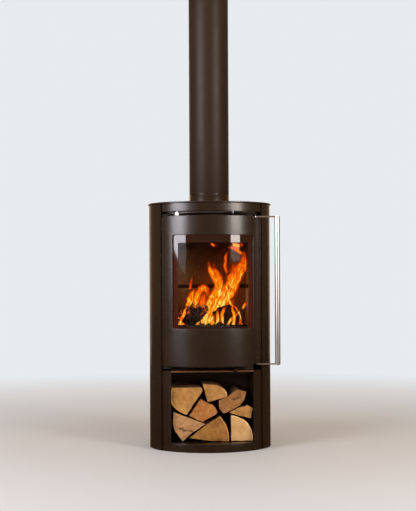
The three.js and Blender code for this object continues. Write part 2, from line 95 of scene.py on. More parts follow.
class Shader:
    """One material's node tree, with short calls for the nodes that the finishes use."""

    def __init__(self, name: str) -> None:
        """Starts a material.

        Args:
            name: The material's name.
        """
        self.material = bpy.data.materials.new(name)
        self.material.use_nodes = True
        self.tree = self.material.node_tree
        self.surface = self.tree.nodes["Principled BSDF"]
        self._coords = self.node("ShaderNodeTexCoord")
        self.place = self._coords.outputs["Object"]
        self.uv = self._coords.outputs["UV"]

    def node(self, kind: str, inputs: dict[str | int, object] | None = None,
             **settings: object) -> bpy.types.Node:
        """Adds a node.

        Args:
            kind: The node's type name.
            inputs: Values or sockets by input name or index.
            **settings: Attributes of the node itself.

        Returns:
            The new node.
        """
        made = self.tree.nodes.new(kind)
        for key, value in settings.items():
            setattr(made, key, value)
        for key, value in (inputs or {}).items():
            self.feed(made.inputs[key], value)
        return made

    def feed(self, socket: Socket, value: object) -> None:
        """Links or sets one input.

        Args:
            socket: The input.
            value: A socket to link from, or a plain value or colour.
        """
        if isinstance(value, Socket):
            self.tree.links.new(value, socket)
        elif isinstance(value, tuple) and socket.type == "RGBA":
            socket.default_value = (*value[:3], 1.0)
        else:
            socket.default_value = value

    def set(self, **values: object) -> None:
        """Feeds the surface shader's inputs, named with underscores for spaces."""
        for key, value in values.items():
            self.feed(self.surface.inputs[key.replace("_", " ")], value)

    def mapped(self, scale: Sequence[float] = (1, 1, 1), centre: Sequence[float] = (0, 0, 0),
               turn: Sequence[float] = (0, 0, 0)) -> Socket:
        """Returns object coordinates about a centre, turned, then stretched.

        Args:
            scale: Stretch along each axis.
            centre: The point that becomes the pattern's origin.
            turn: Rotation about each axis, in radians.

        Returns:
            The vector.
        """
        moved = self.node("ShaderNodeMapping", {"Vector": self.place, "Location": tuple(centre),
                                                "Rotation": tuple(turn)}, vector_type="TEXTURE")
        return self.node("ShaderNodeMapping", {"Vector": moved.outputs[0],
                                               "Scale": tuple(scale)}).outputs[0]

    def noise(self, scale: float, detail: float = 3.0, rough: float = 0.5, warp: float = 0.0,
              vector: Socket | None = None) -> Socket:
        """Returns a noise value from 0 to 1, with `scale` cells to the metre."""
        return self.node("ShaderNodeTexNoise", {
            "Vector": vector or self.place, "Scale": scale, "Detail": detail, "Roughness": rough,
            "Distortion": warp}).outputs[0]

    def cells(self, scale: float, feature: str = "F1", output: str = "Distance",
              vector: Socket | None = None) -> Socket:
        """Returns a Voronoi output with `scale` cells to the metre."""
        return self.node("ShaderNodeTexVoronoi", {"Vector": vector or self.place, "Scale": scale},
                         feature=feature).outputs[output]

    def bands(self, pitch: float, vector: Socket, warp: float = 0.0) -> Socket:
        """Returns even stripes across the X axis, `pitch` metres apart."""
        return self.node("ShaderNodeTexWave", {
            "Vector": vector, "Scale": math.pi / 10 / pitch, "Distortion": warp, "Detail": 2.0,
            "Detail Scale": 1.5}, wave_type="BANDS", bands_direction="X").outputs["Fac"]

    def rings(self, pitch: float, vector: Socket, warp: float) -> Socket:
        """Returns growth rings about the Y axis, `pitch` metres apart."""
        return self.node("ShaderNodeTexWave", {
            "Vector": vector, "Scale": math.pi / 10 / pitch, "Distortion": warp, "Detail": 3.0,
            "Detail Scale": 0.6}, wave_type="RINGS", rings_direction="Y",
            wave_profile="SAW").outputs["Fac"]

    def ramp(self, value: Socket, stops: Iterable[tuple[float, Colour]]) -> Socket:
        """Returns a colour that follows a value.

        Args:
            value: A value from 0 to 1.
            stops: Positions and their colours, in order.

        Returns:
            The colour.
        """
        made = self.node("ShaderNodeValToRGB", {"Fac": value})
        elements = made.color_ramp.elements
        points = list(stops)
        while len(elements) < len(points):
            elements.new(0.5)
        for element, (position, colour) in zip(elements, points):
            element.position = position
            element.color = (*colour, 1.0)
        return made.outputs["Color"]

    def mix(self, share: object, first: object, second: object) -> Socket:
        """Returns a blend of two colours."""
        return self.node("ShaderNodeMix", {0: share, 6: first, 7: second},
                         data_type="RGBA").outputs[2]

    def math(self, operation: str, first: object, second: object = 0.0) -> Socket:
        """Returns one arithmetic step."""
        return self.node("ShaderNodeMath", {0: first, 1: second}, operation=operation).outputs[0]

    def span(self, value: Socket, low: float, high: float, to_low: float = 0.0,
             to_high: float = 1.0) -> Socket:
        """Returns `value` carried from one range to another, held at the ends."""
        return self.node("ShaderNodeMapRange", {
            "Value": value, "From Min": low, "From Max": high, "To Min": to_low,
            "To Max": to_high}).outputs["Result"]

    def parts(self, vector: Socket) -> bpy.types.NodeOutputs:
        """Returns the X, Y and Z outputs of a vector."""
        return self.node("ShaderNodeSeparateXYZ", {"Vector": vector}).outputs

    def relief(self, *layers: tuple[Socket, float]) -> None:
        """Stacks height layers into the surface's normal.

        Args:
            *layers: Each layer's height, from 0 to 1, and its depth in metres.
        """
        normal = None
        for height, depth in layers:
            inputs = {"Height": height, "Distance": depth, "Strength": 1.0}
            if normal is not None:
                inputs["Normal"] = normal
            normal = self.node("ShaderNodeBump", inputs).outputs["Normal"]
        self.set(Normal=normal)


@dataclass(frozen=True)
class Finish:
    """A surface finish. Each kind fills in one material."""

    name: str

    def fill(self, shader: Shader) -> None:
        """Sets up the material's nodes.

        Args:
            shader: The new material's shader.
        """
        raise NotImplementedError


@cache
def material_of(finish: Finish) -> bpy.types.Material:
    """Returns a finish's material, made once.

    Args:
        finish: The finish.

    Returns:
        Its material.
    """
    shader = Shader(finish.name)
    finish.fill(shader)
    return shader.material


@dataclass(frozen=True)
class SatinPaint(Finish):
    """Heat-resistant satin paint: fine orange peel, slight clouding and handling marks."""

    name: str = "satin_paint"
    dark: Colour = (0.017, 0.0083, 0.0032)
    light: Colour = (0.023, 0.0118, 0.0050)
    gloss_low: float = 0.25
    gloss_high: float = 0.31
    index: float = 1.52
    peel_depth: float = 0.000004
    wave_depth: float = 0.000012

    def fill(self, shader: Shader) -> None:
        """Sets up the material's nodes.

        Args:
            shader: The new material's shader.
        """
        cloud = shader.noise(5.0, 4.0, 0.6)
        peel = shader.noise(900.0, 2.0)
        wave = shader.noise(120.0, 2.0)
        rub = shader.noise(14.0, 4.0, 0.55, 0.4)
        shader.set(
            Base_Color=shader.ramp(cloud, [(0.3, self.dark), (0.7, self.light)]),
            Roughness=shader.span(rub, 0.3, 0.7, self.gloss_low, self.gloss_high),
            IOR=self.index,
        )
        shader.relief((peel, self.peel_depth), (wave, self.wave_depth))


@dataclass(frozen=True)
class FurnaceSteel(Finish):
    """Matt black steel that has been hot: soot, a little rust and rolled-in scale."""

    name: str = "black_steel"
    rust: float = 0.35

    def fill(self, shader: Shader) -> None:
        """Sets up the material's nodes.

        Args:
            shader: The new material's shader.
        """
        soot = shader.ramp(shader.noise(14.0, 6.0, 0.6),
                           [(0.3, (0.024, 0.015, 0.009)), (0.75, (0.058, 0.039, 0.027))])
        patches = shader.span(shader.noise(21.0, 7.0, 0.7, 0.6), 0.56, 0.74, 0.0, self.rust)
        shader.set(
            Base_Color=shader.mix(patches, soot, (0.075, 0.033, 0.016)),
            Roughness=shader.span(shader.noise(60.0, 4.0), 0.3, 0.7, 0.52, 0.78),
            Metallic=0.15,
        )
        shader.relief((shader.noise(420.0, 3.0, 0.6), 0.00012))


@dataclass(frozen=True)
class BrushedSteel(Finish):
    """Stainless steel brushed along one axis."""

    name: str = "stainless"
    dark: Colour = (0.56, 0.50, 0.46)
    light: Colour = (0.74, 0.70, 0.67)
    stretch: tuple[float, float, float] = (900.0, 900.0, 7.0)

    def fill(self, shader: Shader) -> None:
        """Sets up the material's nodes.

        Args:
            shader: The new material's shader.
        """
        lines = shader.noise(1.0, 4.0, 0.7, vector=shader.mapped(self.stretch))
        smear = shader.noise(16.0, 3.0)
        shader.set(
            Base_Color=shader.mix(lines, self.dark, self.light),
            Roughness=shader.math("ADD", shader.span(lines, 0.2, 0.8, 0.27, 0.34),
                                  shader.span(smear, 0.4, 0.7, 0.0, 0.04)),
            Metallic=1.0,
        )
        shader.relief((lines, 0.000012))


@dataclass(frozen=True)
class Vermiculite(Finish):
    """Pressed vermiculite lining: flecked tan board, sooted towards the top."""

    name: str = "firebrick"
    clean: Colour = (0.30, 0.185, 0.098)
    soot_from: float = 0.56
    soot_to: float = 0.80

    def fill(self, shader: Shader) -> None:
        """Sets up the material's nodes.

        Args:
            shader: The new material's shader.
        """
        flecks = shader.cells(170.0, output="Color")
        board = shader.mix(shader.span(shader.noise(260.0, 4.0, 0.7), 0.35, 0.65),
                           self.clean, tuple(0.62 * c for c in self.clean))
        board = shader.mix(shader.span(shader.parts(flecks)[0], 0.8, 1.0, 0.0, 0.5), board,
                           (0.50, 0.36, 0.20))
        height = shader.parts(shader.place)[2]
        wander = shader.math("ADD", height, shader.span(shader.noise(13.0, 5.0), 0, 1, -0.08, 0.08))
        soot = shader.span(wander, self.soot_from, self.soot_to, 0.12, 0.82)
        shader.set(Base_Color=shader.mix(soot, board, (0.022, 0.013, 0.008)), Roughness=0.93)
        shader.relief((shader.noise(330.0, 4.0, 0.7), 0.0007), (flecks, 0.0003))


@dataclass(frozen=True)
class CastIron(Finish):
    """Sand-cast iron with a dusting of ash."""

    name: str = "cast_iron"

    def fill(self, shader: Shader) -> None:
        """Sets up the material's nodes.

        Args:
            shader: The new material's shader.
        """
        ash = shader.span(shader.noise(55.0, 6.0, 0.7), 0.5, 0.72, 0.0, 0.55)
        shader.set(Base_Color=shader.mix(ash, (0.026, 0.023, 0.021), (0.20, 0.18, 0.16)),
                   Roughness=shader.span(shader.noise(90.0), 0.3, 0.7, 0.6, 0.85), Metallic=0.35)
        shader.relief((shader.noise(520.0, 4.0, 0.65), 0.0006))


@dataclass(frozen=True)
class GlassRope(Finish):
    """Braided glass-fibre rope, greyed by smoke."""

    name: str = "seal_rope"
    strand: float = 0.0042

    def fill(self, shader: Shader) -> None:
        """Sets up the material's nodes.

        Args:
            shader: The new material's shader.
        """
        one = shader.bands(self.strand, shader.mapped(turn=(0.0, math.radians(38), 0.0)), 0.6)
        two = shader.bands(self.strand, shader.mapped(turn=(0.0, math.radians(-38), 0.0)), 0.6)
        braid = shader.math("MAXIMUM", one, two)
        grime = shader.span(shader.noise(24.0, 5.0), 0.35, 0.7)
        pale = shader.mix(braid, (0.07, 0.06, 0.052), (0.27, 0.245, 0.215))
        shader.set(Base_Color=shader.mix(grime, pale, (0.055, 0.045, 0.038)), Roughness=0.95,
                   Sheen_Weight=0.2)
        shader.relief((braid, 0.0011), (shader.noise(900.0), 0.0002))


@dataclass(frozen=True)
class ZincSheet(Finish):
    """Hot-dip galvanised sheet with dull spangles."""

    name: str = "galvanised"

    def fill(self, shader: Shader) -> None:
        """Sets up the material's nodes.

        Args:
            shader: The new material's shader.
        """
        warped = shader.mapped((1.0, 1.0, 1.3))
        spangle = shader.parts(shader.cells(75.0, output="Color", vector=warped))[0]
        dust = shader.span(shader.noise(30.0, 5.0), 0.45, 0.75, 0.0, 0.5)
        metal = shader.mix(spangle, (0.27, 0.28, 0.29), (0.47, 0.48, 0.49))
        shader.set(Base_Color=shader.mix(dust, metal, (0.16, 0.14, 0.13)), Metallic=0.85,
                   Roughness=shader.span(spangle, 0.0, 1.0, 0.38, 0.58))
        shader.relief((shader.noise(300.0, 3.0), 0.0001))


@dataclass(frozen=True)
class CeramicGlass(Finish):
    """Clear fire glass with a faint, patchy trace of smoke."""

    name: str = "clear_fire_glass"

    def fill(self, shader: Shader) -> None:
        """Sets up the material's nodes.

        Args:
            shader: The new material's shader.
        """
        film = shader.span(shader.noise(9.0, 5.0, 0.6), 0.45, 0.8)
        shader.set(Base_Color=shader.mix(film, (1.0, 0.97, 0.94), (0.90, 0.80, 0.72)),
                   Roughness=0.0, IOR=1.11, Transmission_Weight=1.0)


@dataclass(frozen=True)
class PrintedBorder(Finish):
    """The glass's dark mirror-like border, with a painted reflection of fire glow in its lower sides.
    """

    name: str = "printed_border_painted_glow"
    ink: Colour = (0.026, 0.0085, 0.005)
    # Colour of the painted glow: emission that stands in for firelight reflected in the glass.
    glow: Colour = (0.034, 0.002, 0.0003)
    sides: tuple[float, float] = (-0.1275, 0.1365)
    painted_glow_top: float = 0.735

    def fill(self, shader: Shader) -> None:
        """Sets up the material's nodes.

        Args:
            shader: The new material's shader.
        """
        across, _, up = shader.parts(shader.place)
        middle = sum(self.sides) / 2
        reach = (self.sides[1] - self.sides[0]) / 2
        offset = shader.math("ABSOLUTE", shader.math("SUBTRACT", across, middle))
        # Painted reflection of fire glow: emission beside the sight's sides, fading out higher up and
        # varied by noise.
        painted_glow_side = shader.span(offset, reach - 0.004, reach)
        low = shader.span(up, self.painted_glow_top - 0.05, self.painted_glow_top + 0.04, 1.0, 0.25)
        painted_glow_flicker = shader.span(shader.noise(8.0, 3.0), 0.3, 0.7, 0.7, 1.15)
        share = shader.math("MULTIPLY", shader.math("MULTIPLY", painted_glow_side, low), painted_glow_flicker)
        fine = shader.noise(700.0, 2.0)
        shader.set(Base_Color=self.ink, IOR=1.48,
                   Roughness=shader.span(fine, 0.3, 0.7, 0.03, 0.06),
                   Emission_Color=shader.mix(share, (0.0, 0.0, 0.0), self.glow),
                   Emission_Strength=1.0)


@dataclass(frozen=True)
class EndGrain(Finish):
    """The sawn end of a split log: rings about its pith, rays, checks and saw marks.

    Attributes:
        pith: Where its rings are centred, as x and z.
        pale: The wood between rings.
        deep: The rings themselves.
        ring: Distance between rings.
        heart: Share of dark flecks.
        sapwood: Distance from the pith at which the pale rim begins.
        crack: A crack's middle as x and z, its tilt in degrees and its half length.
    """

    pith: tuple[float, float] = (0.0, 0.0)
    pale: Colour = (0.55, 0.34, 0.16)
    deep: Colour = (0.36, 0.19, 0.075)
    ring: float = 0.0042
    heart: float = 0.3
    sapwood: float = 1.0
    crack: tuple[float, float, float, float] | None = None

    def fill(self, shader: Shader) -> None:
        """Sets up the material's nodes.

        Args:
            shader: The new material's shader.
        """
        centred = shader.mapped(centre=(self.pith[0], 0.0, self.pith[1]))
        rings = shader.rings(self.ring, centred, 1.6)
        groups = shader.rings(4.3 * self.ring, centred, 2.4)
        mottle = shader.noise(240.0, 6.0, 0.7)
        broad = shader.noise(30.0, 5.0, 0.65, 0.6)
        axes = shader.parts(centred)
        bearing = shader.math("ARCTAN2", axes[2], axes[0])
        rays = shader.noise(1.0, 3.0, 0.6, vector=shader.node(
            "ShaderNodeCombineXYZ", {"X": shader.math("MULTIPLY", bearing, 46.0),
                                     "Y": shader.math("MULTIPLY", rings, 0.5)}).outputs[0])
        tone = shader.math("ADD", shader.span(rings, 0.0, 1.0, 0.0, 0.34),
                           shader.span(broad, 0.35, 0.65, -0.30, 0.50))
        tone = shader.math("ADD", tone, shader.span(groups, 0.0, 1.0, -0.05, 0.30))
        tone = shader.math("ADD", tone, shader.span(rays, 0.4, 0.75, -0.08, 0.42))
        wood = shader.ramp(tone, [(0.0, self.pale), (1.0, self.deep)])
        wood = shader.mix(shader.span(mottle, 0.45, 0.75, 0.0, self.heart), wood,
                          tuple(0.55 * c for c in self.deep))
        knots = shader.span(shader.noise(21.0, 2.0, 0.4), 0.68, 0.76, 0.0, 0.7)
        wood = shader.mix(knots, wood, tuple(0.5 * c for c in self.deep))
        radius = shader.node("ShaderNodeVectorMath", {0: shader.node(
            "ShaderNodeCombineXYZ", {"X": axes[0], "Z": axes[2]}).outputs[0]},
            operation="LENGTH").outputs["Value"]
        rim = shader.span(radius, self.sapwood, self.sapwood + 0.003)
        wood = shader.mix(shader.math("MULTIPLY", rim, 0.75), wood,
                          tuple(min(1.0, 1.35 * c) for c in self.pale))
        checks = shader.span(rays, 0.66, 0.71, 0.0, 0.8)
        if self.crack:
            checks = shader.math("MAXIMUM", checks, self._crack_line(shader))
        wood = shader.mix(checks, wood, tuple(0.25 * c for c in self.deep))
        saw = shader.bands(0.0035, shader.mapped(turn=(0.0, math.radians(24), 0.0)), 1.2)
        shader.set(Base_Color=wood, Roughness=0.86, Specular_IOR_Level=0.25)
        shader.relief((saw, 0.0002), (mottle, 0.0005), (checks, -0.0016))

    def _crack_line(self, shader: Shader) -> Socket:
        """Returns the crack as a ragged line that tapers out at both ends.

        Args:
            shader: The material's shader.

        Returns:
            How dark the crack is, from 0 to 1.
        """
        x, z, tilt, reach = self.crack
        along, _, away = shader.parts(shader.mapped(centre=(x, 0.0, z),
                                                    turn=(0.0, math.radians(tilt), 0.0)))
        wander = shader.span(shader.noise(75.0, 4.0, 0.6), 0.3, 0.7, -0.006, 0.006)
        gap = shader.math("ABSOLUTE", shader.math("ADD", away, wander))
        ends = shader.span(shader.math("ABSOLUTE", along), 0.8 * reach, reach, 1.0, 0.0)
        return shader.math("MULTIPLY", shader.span(gap, 0.0014, 0.0038, 0.8, 0.0), ends)


@dataclass(frozen=True)
class SplitFace(Finish):
    """The torn long side of a split log, darkened to paint the shade on the logs' tops."""

    name: str = "split_face_painted_shade"

    def fill(self, shader: Shader) -> None:
        """Sets up the material's nodes.

        Args:
            shader: The new material's shader.
        """
        fibre = shader.noise(1.0, 6.0, 0.65, 0.3, shader.mapped((190.0, 9.0, 190.0)))
        # Painted shade: these fibre colours are kept dark throughout, so the logs' tops read as
        # shaded.
        shader.set(Base_Color=shader.ramp(fibre, [(0.25, (0.10, 0.048, 0.017)),
                                                  (0.75, (0.27, 0.15, 0.062))]),
                   Roughness=0.9, Specular_IOR_Level=0.2)
        shader.relief((fibre, 0.0016))


@dataclass(frozen=True)
class Bark(Finish):
    """Ridged bark."""

    name: str = "bark"

    def fill(self, shader: Shader) -> None:
        """Sets up the material's nodes.

        Args:
            shader: The new material's shader.
        """
        ridges = shader.noise(1.0, 6.0, 0.7, 0.8, shader.mapped((120.0, 26.0, 120.0)))
        shader.set(Base_Color=shader.ramp(ridges, [(0.3, (0.025, 0.015, 0.009)),
                                                   (0.7, (0.17, 0.10, 0.055))]),
                   Roughness=0.95, Specular_IOR_Level=0.15)
        shader.relief((ridges, 0.004))


@dataclass(frozen=True)
class Charred(Finish):
    """Burning wood: black alligator char with glowing cracks and grey ash."""

    name: str = "charred_wood"
    glow: float = 1.3

    def fill(self, shader: Shader) -> None:
        """Sets up the material's nodes.

        Args:
            shader: The new material's shader.
        """
        blocks = shader.cells(62.0, "DISTANCE_TO_EDGE", vector=shader.mapped((1.0, 0.55, 1.0)))
        hot = shader.span(shader.noise(17.0, 4.0, 0.6), 0.52, 0.70)
        ash = shader.span(shader.noise(44.0, 6.0, 0.7), 0.56, 0.72, 0.0, 0.5)
        seam = shader.math("MULTIPLY", shader.span(blocks, 0.0, 0.11, 1.0, 0.0), hot)
        heat = shader.math("ADD", seam, shader.math("MULTIPLY", hot, 0.16))
        shader.set(
            Base_Color=shader.mix(ash, (0.020, 0.011, 0.007), (0.16, 0.13, 0.11)),
            Roughness=0.88,
            Emission_Color=shader.ramp(heat, [(0.0, (0.0, 0.0, 0.0)), (0.15, (0.10, 0.009, 0.002)),
                                              (0.55, (0.62, 0.10, 0.010)), (1.0, (1.0, 0.42, 0.06))]),
            Emission_Strength=self.glow,
        )
        shader.relief((shader.span(blocks, 0.0, 0.2), 0.004), (shader.noise(300.0, 4.0), 0.0008))


@dataclass(frozen=True)
class FlameGas(Finish):
    """Burning gas: streaked, clear at its edges and tip, from red through orange to yellow."""

    name: str = "flame"
    heat: float = 1.0
    thick: float = 0.95
    strength: float = 1.08

    def fill(self, shader: Shader) -> None:
        """Sets up the material's nodes.

        Args:
            shader: The new material's shader.
        """
        across, along, _ = shader.parts(shader.uv)
        side = shader.math("ABSOLUTE", shader.span(across, 0.0, 1.0, -1.0, 1.0))
        core = shader.math("SUBTRACT", 1.0, shader.math("POWER", side, 1.7))
        ends = shader.math("MULTIPLY", shader.span(along, 0.0, 0.10),
                           shader.span(along, 0.62, 1.0, 1.0, 0.0))
        streaks = shader.noise(1.0, 4.0, 0.62, 1.3, shader.mapped((58.0, 40.0, 19.0)))
        fine = shader.noise(1.0, 3.0, 0.6, 0.8, shader.mapped((170.0, 90.0, 46.0)))
        wisps = shader.math("ADD", shader.span(streaks, 0.36, 0.64, 0.12, 1.05),
                            shader.span(fine, 0.3, 0.7, -0.25, 0.25))
        body = shader.math("MULTIPLY", shader.math("MULTIPLY", core, ends), wisps)
        warmth = shader.math("MULTIPLY", body, shader.span(along, 0.0, 1.0, 1.5, 0.72))
        warmth = shader.math("MULTIPLY", warmth, self.heat)
        shader.set(
            Base_Color=(0.0, 0.0, 0.0),
            Specular_IOR_Level=0.0,
            Roughness=1.0,
            Alpha=shader.span(body, 0.06, 0.55, 0.0, self.thick),
            Emission_Color=shader.ramp(warmth, [
                (0.0, (0.26, 0.010, 0.0)), (0.25, (0.66, 0.05, 0.0)), (0.48, (1.0, 0.16, 0.001)),
                (0.72, (1.0, 0.36, 0.003)), (0.90, (1.0, 0.58, 0.02)), (1.0, (1.0, 0.80, 0.2))]),
            Emission_Strength=self.strength,
        )


FINISH_OF_SLOT: dict[Slot, Finish] = {
    Slot.PAINT: SatinPaint(),
    Slot.STEEL: FurnaceSteel(),
    Slot.STAINLESS: BrushedSteel(),
    Slot.BRICK: Vermiculite(),
    Slot.IRON: CastIron(),
    Slot.ROPE: GlassRope(),
    Slot.ZINC: ZincSheet(),
    Slot.GLASS: CeramicGlass(),
}


# ---- Mesh building -------------------------------------------------------------------------------


def sharp_edges(bm: bmesh.types.BMesh, least: float = 0.7) -> list[bmesh.types.BMEdge]:
    """Returns the edges where two faces meet at more than `least` radians."""
    return [e for e in bm.edges if len(e.link_faces) == 2 and e.calc_face_angle(0.0) > least]


def bevel(bm: bmesh.types.BMesh, edges: Iterable[bmesh.types.BMEdge], width: float,
          segments: int = 2) -> None:
    """Rounds edges by `width`, in a number of steps."""
    bmesh.ops.bevel(bm, geom=list(edges), offset=width, offset_type="OFFSET", segments=segments,
                    profile=0.5, affect="EDGES", clamp_overlap=True, material=-1)


def raised(bm: bmesh.types.BMesh, move: Sequence[float]) -> None:
    """Extrudes everything along a vector: faces to a solid, or bare edges to a sheet.

    Args:
        bm: The faces or edges.
        move: How far, and which way.
    """
    if bm.faces:
        made = bmesh.ops.extrude_face_region(bm, geom=bm.faces[:])
    else:
        made = bmesh.ops.extrude_edge_only(bm, edges=bm.edges[:])
    bmesh.ops.translate(bm, vec=move,
                        verts=[g for g in made["geom"] if isinstance(g, bmesh.types.BMVert)])


def keep_side(bm: bmesh.types.BMesh, point: Sequence[float], outward: Sequence[float]) -> None:
    """Cuts everything with a plane and drops what lies on its outward side.

    Args:
        bm: What is cut.
        point: A point on the plane.
        outward: The plane's normal, on the side that is dropped.
    """
    bmesh.ops.bisect_plane(bm, geom=bm.verts[:] + bm.edges[:] + bm.faces[:], plane_co=point,
                           plane_no=outward, clear_outer=True)


def slice_evenly(bm: bmesh.types.BMesh, axis: int, low: float, high: float, step: float) -> None:
    """Cuts everything into even slices across an axis.

    Args:
        bm: What is cut.
        axis: 0, 1 or 2, for X, Y or Z.
        low: Where the slices begin.
        high: Where they end.
        step: About how thick each slice is.
    """
    normal = Vector((0, 0, 0))
    normal[axis] = 1.0
    count = max(1, round((high - low) / step))
    for i in range(1, count):
        at = normal * (low + (high - low) * i / count)
        bmesh.ops.bisect_plane(bm, geom=bm.verts[:] + bm.edges[:] + bm.faces[:], plane_co=at,
                               plane_no=normal)


def closed_loop(points: Sequence[tuple[float, float]]) -> bmesh.types.BMesh:
    """Returns a loop of edges in the XZ plane.

    Args:
        points: Its corners, as x and z.

    Returns:
        The loop.
    """
    bm = bmesh.new()
    verts = [bm.verts.new((x, 0.0, z)) for x, z in points]
    for pair in zip(verts, verts[1:] + verts[:1]):
        bm.edges.new(pair)
    return bm


def rectangle(left: float, right: float, low: float,
              high: float) -> tuple[tuple[float, float], ...]:
    """Returns the corners of an upright rectangle as (x, z) points."""
    return ((left, low), (right, low), (right, high), (left, high))


def merged(*parts: bmesh.types.BMesh) -> bmesh.types.BMesh:
    """Returns several bmeshes as one.

    Args:
        *parts: The bmeshes, which are freed.

    Returns:
        The joined bmesh.
    """
    whole = bmesh.new()
    for part in parts:
        mesh = bpy.data.meshes.new("part")
        part.to_mesh(mesh)
        part.free()
        whole.from_mesh(mesh)
        bpy.data.meshes.remove(mesh)
    return whole


def block(low: Sequence[float], high: Sequence[float], edge: float = 0.0008) -> bmesh.types.BMesh:
    """Returns a box with rounded edges.

    Args:
        low: Its lowest corner.
        high: Its highest corner.
        edge: Width of the rounding, at most.

    Returns:
        The box.
    """
    bm = bmesh.new()
    bmesh.ops.create_cube(bm, size=1.0)
    size = Vector(high) - Vector(low)
    bmesh.ops.scale(bm, vec=size, verts=bm.verts)
    bmesh.ops.translate(bm, vec=(Vector(high) + Vector(low)) / 2, verts=bm.verts)
    bevel(bm, bm.edges[:], min(edge, 0.3 * min(size)))
    return bm


def turned(profile: Sequence[tuple[float, float]], centre: tuple[float, float],
           steps: int = 96) -> bmesh.types.BMesh:
    """Returns a ring-like body turned about an upright axis.

    Args:
        profile: Closed outline of the wall as (radius, height) points.
        centre: The axis, as x and y.
        steps: Flats round the turn.

    Returns:
        The closed body.
    """
    bm = bmesh.new()
    verts = [bm.verts.new((centre[0] + r, centre[1], z)) for r, z in profile]
    for first, second in zip(verts, verts[1:] + verts[:1]):
        bm.edges.new((first, second))
    bmesh.ops.spin(bm, geom=bm.verts[:] + bm.edges[:], cent=(*centre, 0.0), axis=(0, 0, 1),
                   dvec=(0, 0, 0), angle=2 * math.pi, steps=steps, use_merge=True)
    return bm


def cylinder(centre: Sequence[float], axis: Sequence[float], radius: float, length: float,
             edge: float, segments: int = 32) -> bmesh.types.BMesh:
    """Returns a round bar with rounded ends.

    Args:
        centre: Its middle.
        axis: The way that it runs.
        radius: Its radius.
        length: Its length.
        edge: Width of the rounding at its ends.
        segments: Flats round it.

    Returns:
        The bar.
    """
    bm = bmesh.new()
    bmesh.ops.create_cone(bm, cap_ends=True, segments=segments, radius1=radius, radius2=radius,
                          depth=length)
    bevel(bm, sharp_edges(bm), edge)
    turn = Vector((0, 0, 1)).rotation_difference(Vector(axis)).to_matrix()
    bmesh.ops.rotate(bm, matrix=turn, verts=bm.verts)
    bmesh.ops.translate(bm, vec=centre, verts=bm.verts)
    return bm


def finish_piece(bm: bmesh.types.BMesh, name: str, body: Body, slot: Slot,
                 finishes: Sequence[Finish] = (), replaces: Sequence[str] = (),
                 even: bool = False) -> bpy.types.Object:
    """Turns a bmesh into a piece of the stove.

    Args:
        bm: The finished geometry, which is freed.
        name: The piece's name.
        body: The CAD body that it rides on.
        slot: The record's slot that its finish stands for.
        finishes: Its finishes in the order of its faces' material numbers; the slot's own if none.
        replaces: CAD nodes that it stands for.
        even: True to let large faces lead the shading, for parts with rounded edges.

    Returns:
        The new object.
    """
    bmesh.ops.remove_doubles(bm, verts=bm.verts[:], dist=1e-6)
    bmesh.ops.recalc_face_normals(bm, faces=bm.faces[:])
    mesh = bpy.data.meshes.new(name)
    bm.to_mesh(mesh)
    bm.free()
    for finish in finishes or (FINISH_OF_SLOT[slot],):
        mesh.materials.append(material_of(finish))
    mesh.shade_smooth()
    mesh.set_sharp_from_angle(angle=SHARP_EDGE)
    piece = bpy.data.objects.new(name, mesh)
    bpy.context.scene.collection.objects.link(piece)
    if even:
        weighted = piece.modifiers.new("even_shading", "WEIGHTED_NORMAL")
        weighted.keep_sharp = True
    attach(piece, body.value)
    if replaces:
        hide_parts(*replaces)
    LOG.info("%s: %d faces on %s", name, len(mesh.polygons), body.value)
    return piece


def body_of_node(node: str) -> Body:
    """Returns the body that a CAD node, given by its name, belongs to."""
    groups = frame["record"]["behaviour"]["bodies"]
    return Body(next(body for body, nodes in groups.items() if node in nodes))


def detailed(node: str, edge: float = 0.0006, segments: int = 2,
             finish: Finish | None = None) -> bpy.types.Object:
    """Replaces a CAD node with a merged copy whose edges are rounded.

    Args:
        node: The CAD node.
        edge: Width of the rounding.
        segments: Steps across the rounding.
        finish: Its finish, or None for its slot's own.

    Returns:
        The new piece.
    """
    bm = bmesh.new()
    bm.from_mesh(frame["nodes"][node].data)
    bmesh.ops.remove_doubles(bm, verts=bm.verts[:], dist=2e-5)
    bmesh.ops.dissolve_limit(bm, angle_limit=math.radians(0.4), verts=bm.verts[:],
                             edges=bm.edges[:])
    bevel(bm, sharp_edges(bm), edge, segments)
    return finish_piece(bm, f"{node}_piece", body_of_node(node), Slot(SLOT_OF_NODE[node]),
                        (finish,) if finish else (), (node,), even=True)


def screw_head(point: Sequence[float], outward: Sequence[float], radius: float) -> bmesh.types.BMesh:
    """Returns a low round screw head with a hexagon socket, standing on a surface.

    Args:
        point: Middle of the head on the surface.
        outward: The way that it faces.
        radius: Radius of the head.

    Returns:
        The head.
    """
    bm = bmesh.new()
    tall = 0.5 * radius
    bmesh.ops.create_cone(bm, cap_ends=True, segments=24, radius1=radius, radius2=radius,
                          depth=tall)
    bmesh.ops.translate(bm, vec=(0, 0, tall / 2), verts=bm.verts)
    bevel(bm, [e for e in sharp_edges(bm) if e.verts[0].co.z > tall / 2], 0.35 * radius, 3)
    top = max(bm.faces, key=lambda face: face.calc_center_median().z)
    bmesh.ops.inset_region(bm, faces=[top], thickness=0.18 * radius)
    made = bmesh.ops.extrude_discrete_faces(bm, faces=[top])["faces"][0]
    bmesh.ops.translate(bm, vec=(0, 0, -0.35 * radius), verts=made.verts)
    turn = Vector((0, 0, 1)).rotation_difference(Vector(outward)).to_matrix()
    bmesh.ops.rotate(bm, matrix=turn, verts=bm.verts)
    bmesh.ops.translate(bm, vec=point, verts=bm.verts)
    return bm


def flue_centre() -> tuple[float, float]:
    """Returns the flue's axis, as x and y."""
    low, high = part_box("flue_pipe")
    return (low.x + high.x) / 2, (low.y + high.y) / 2


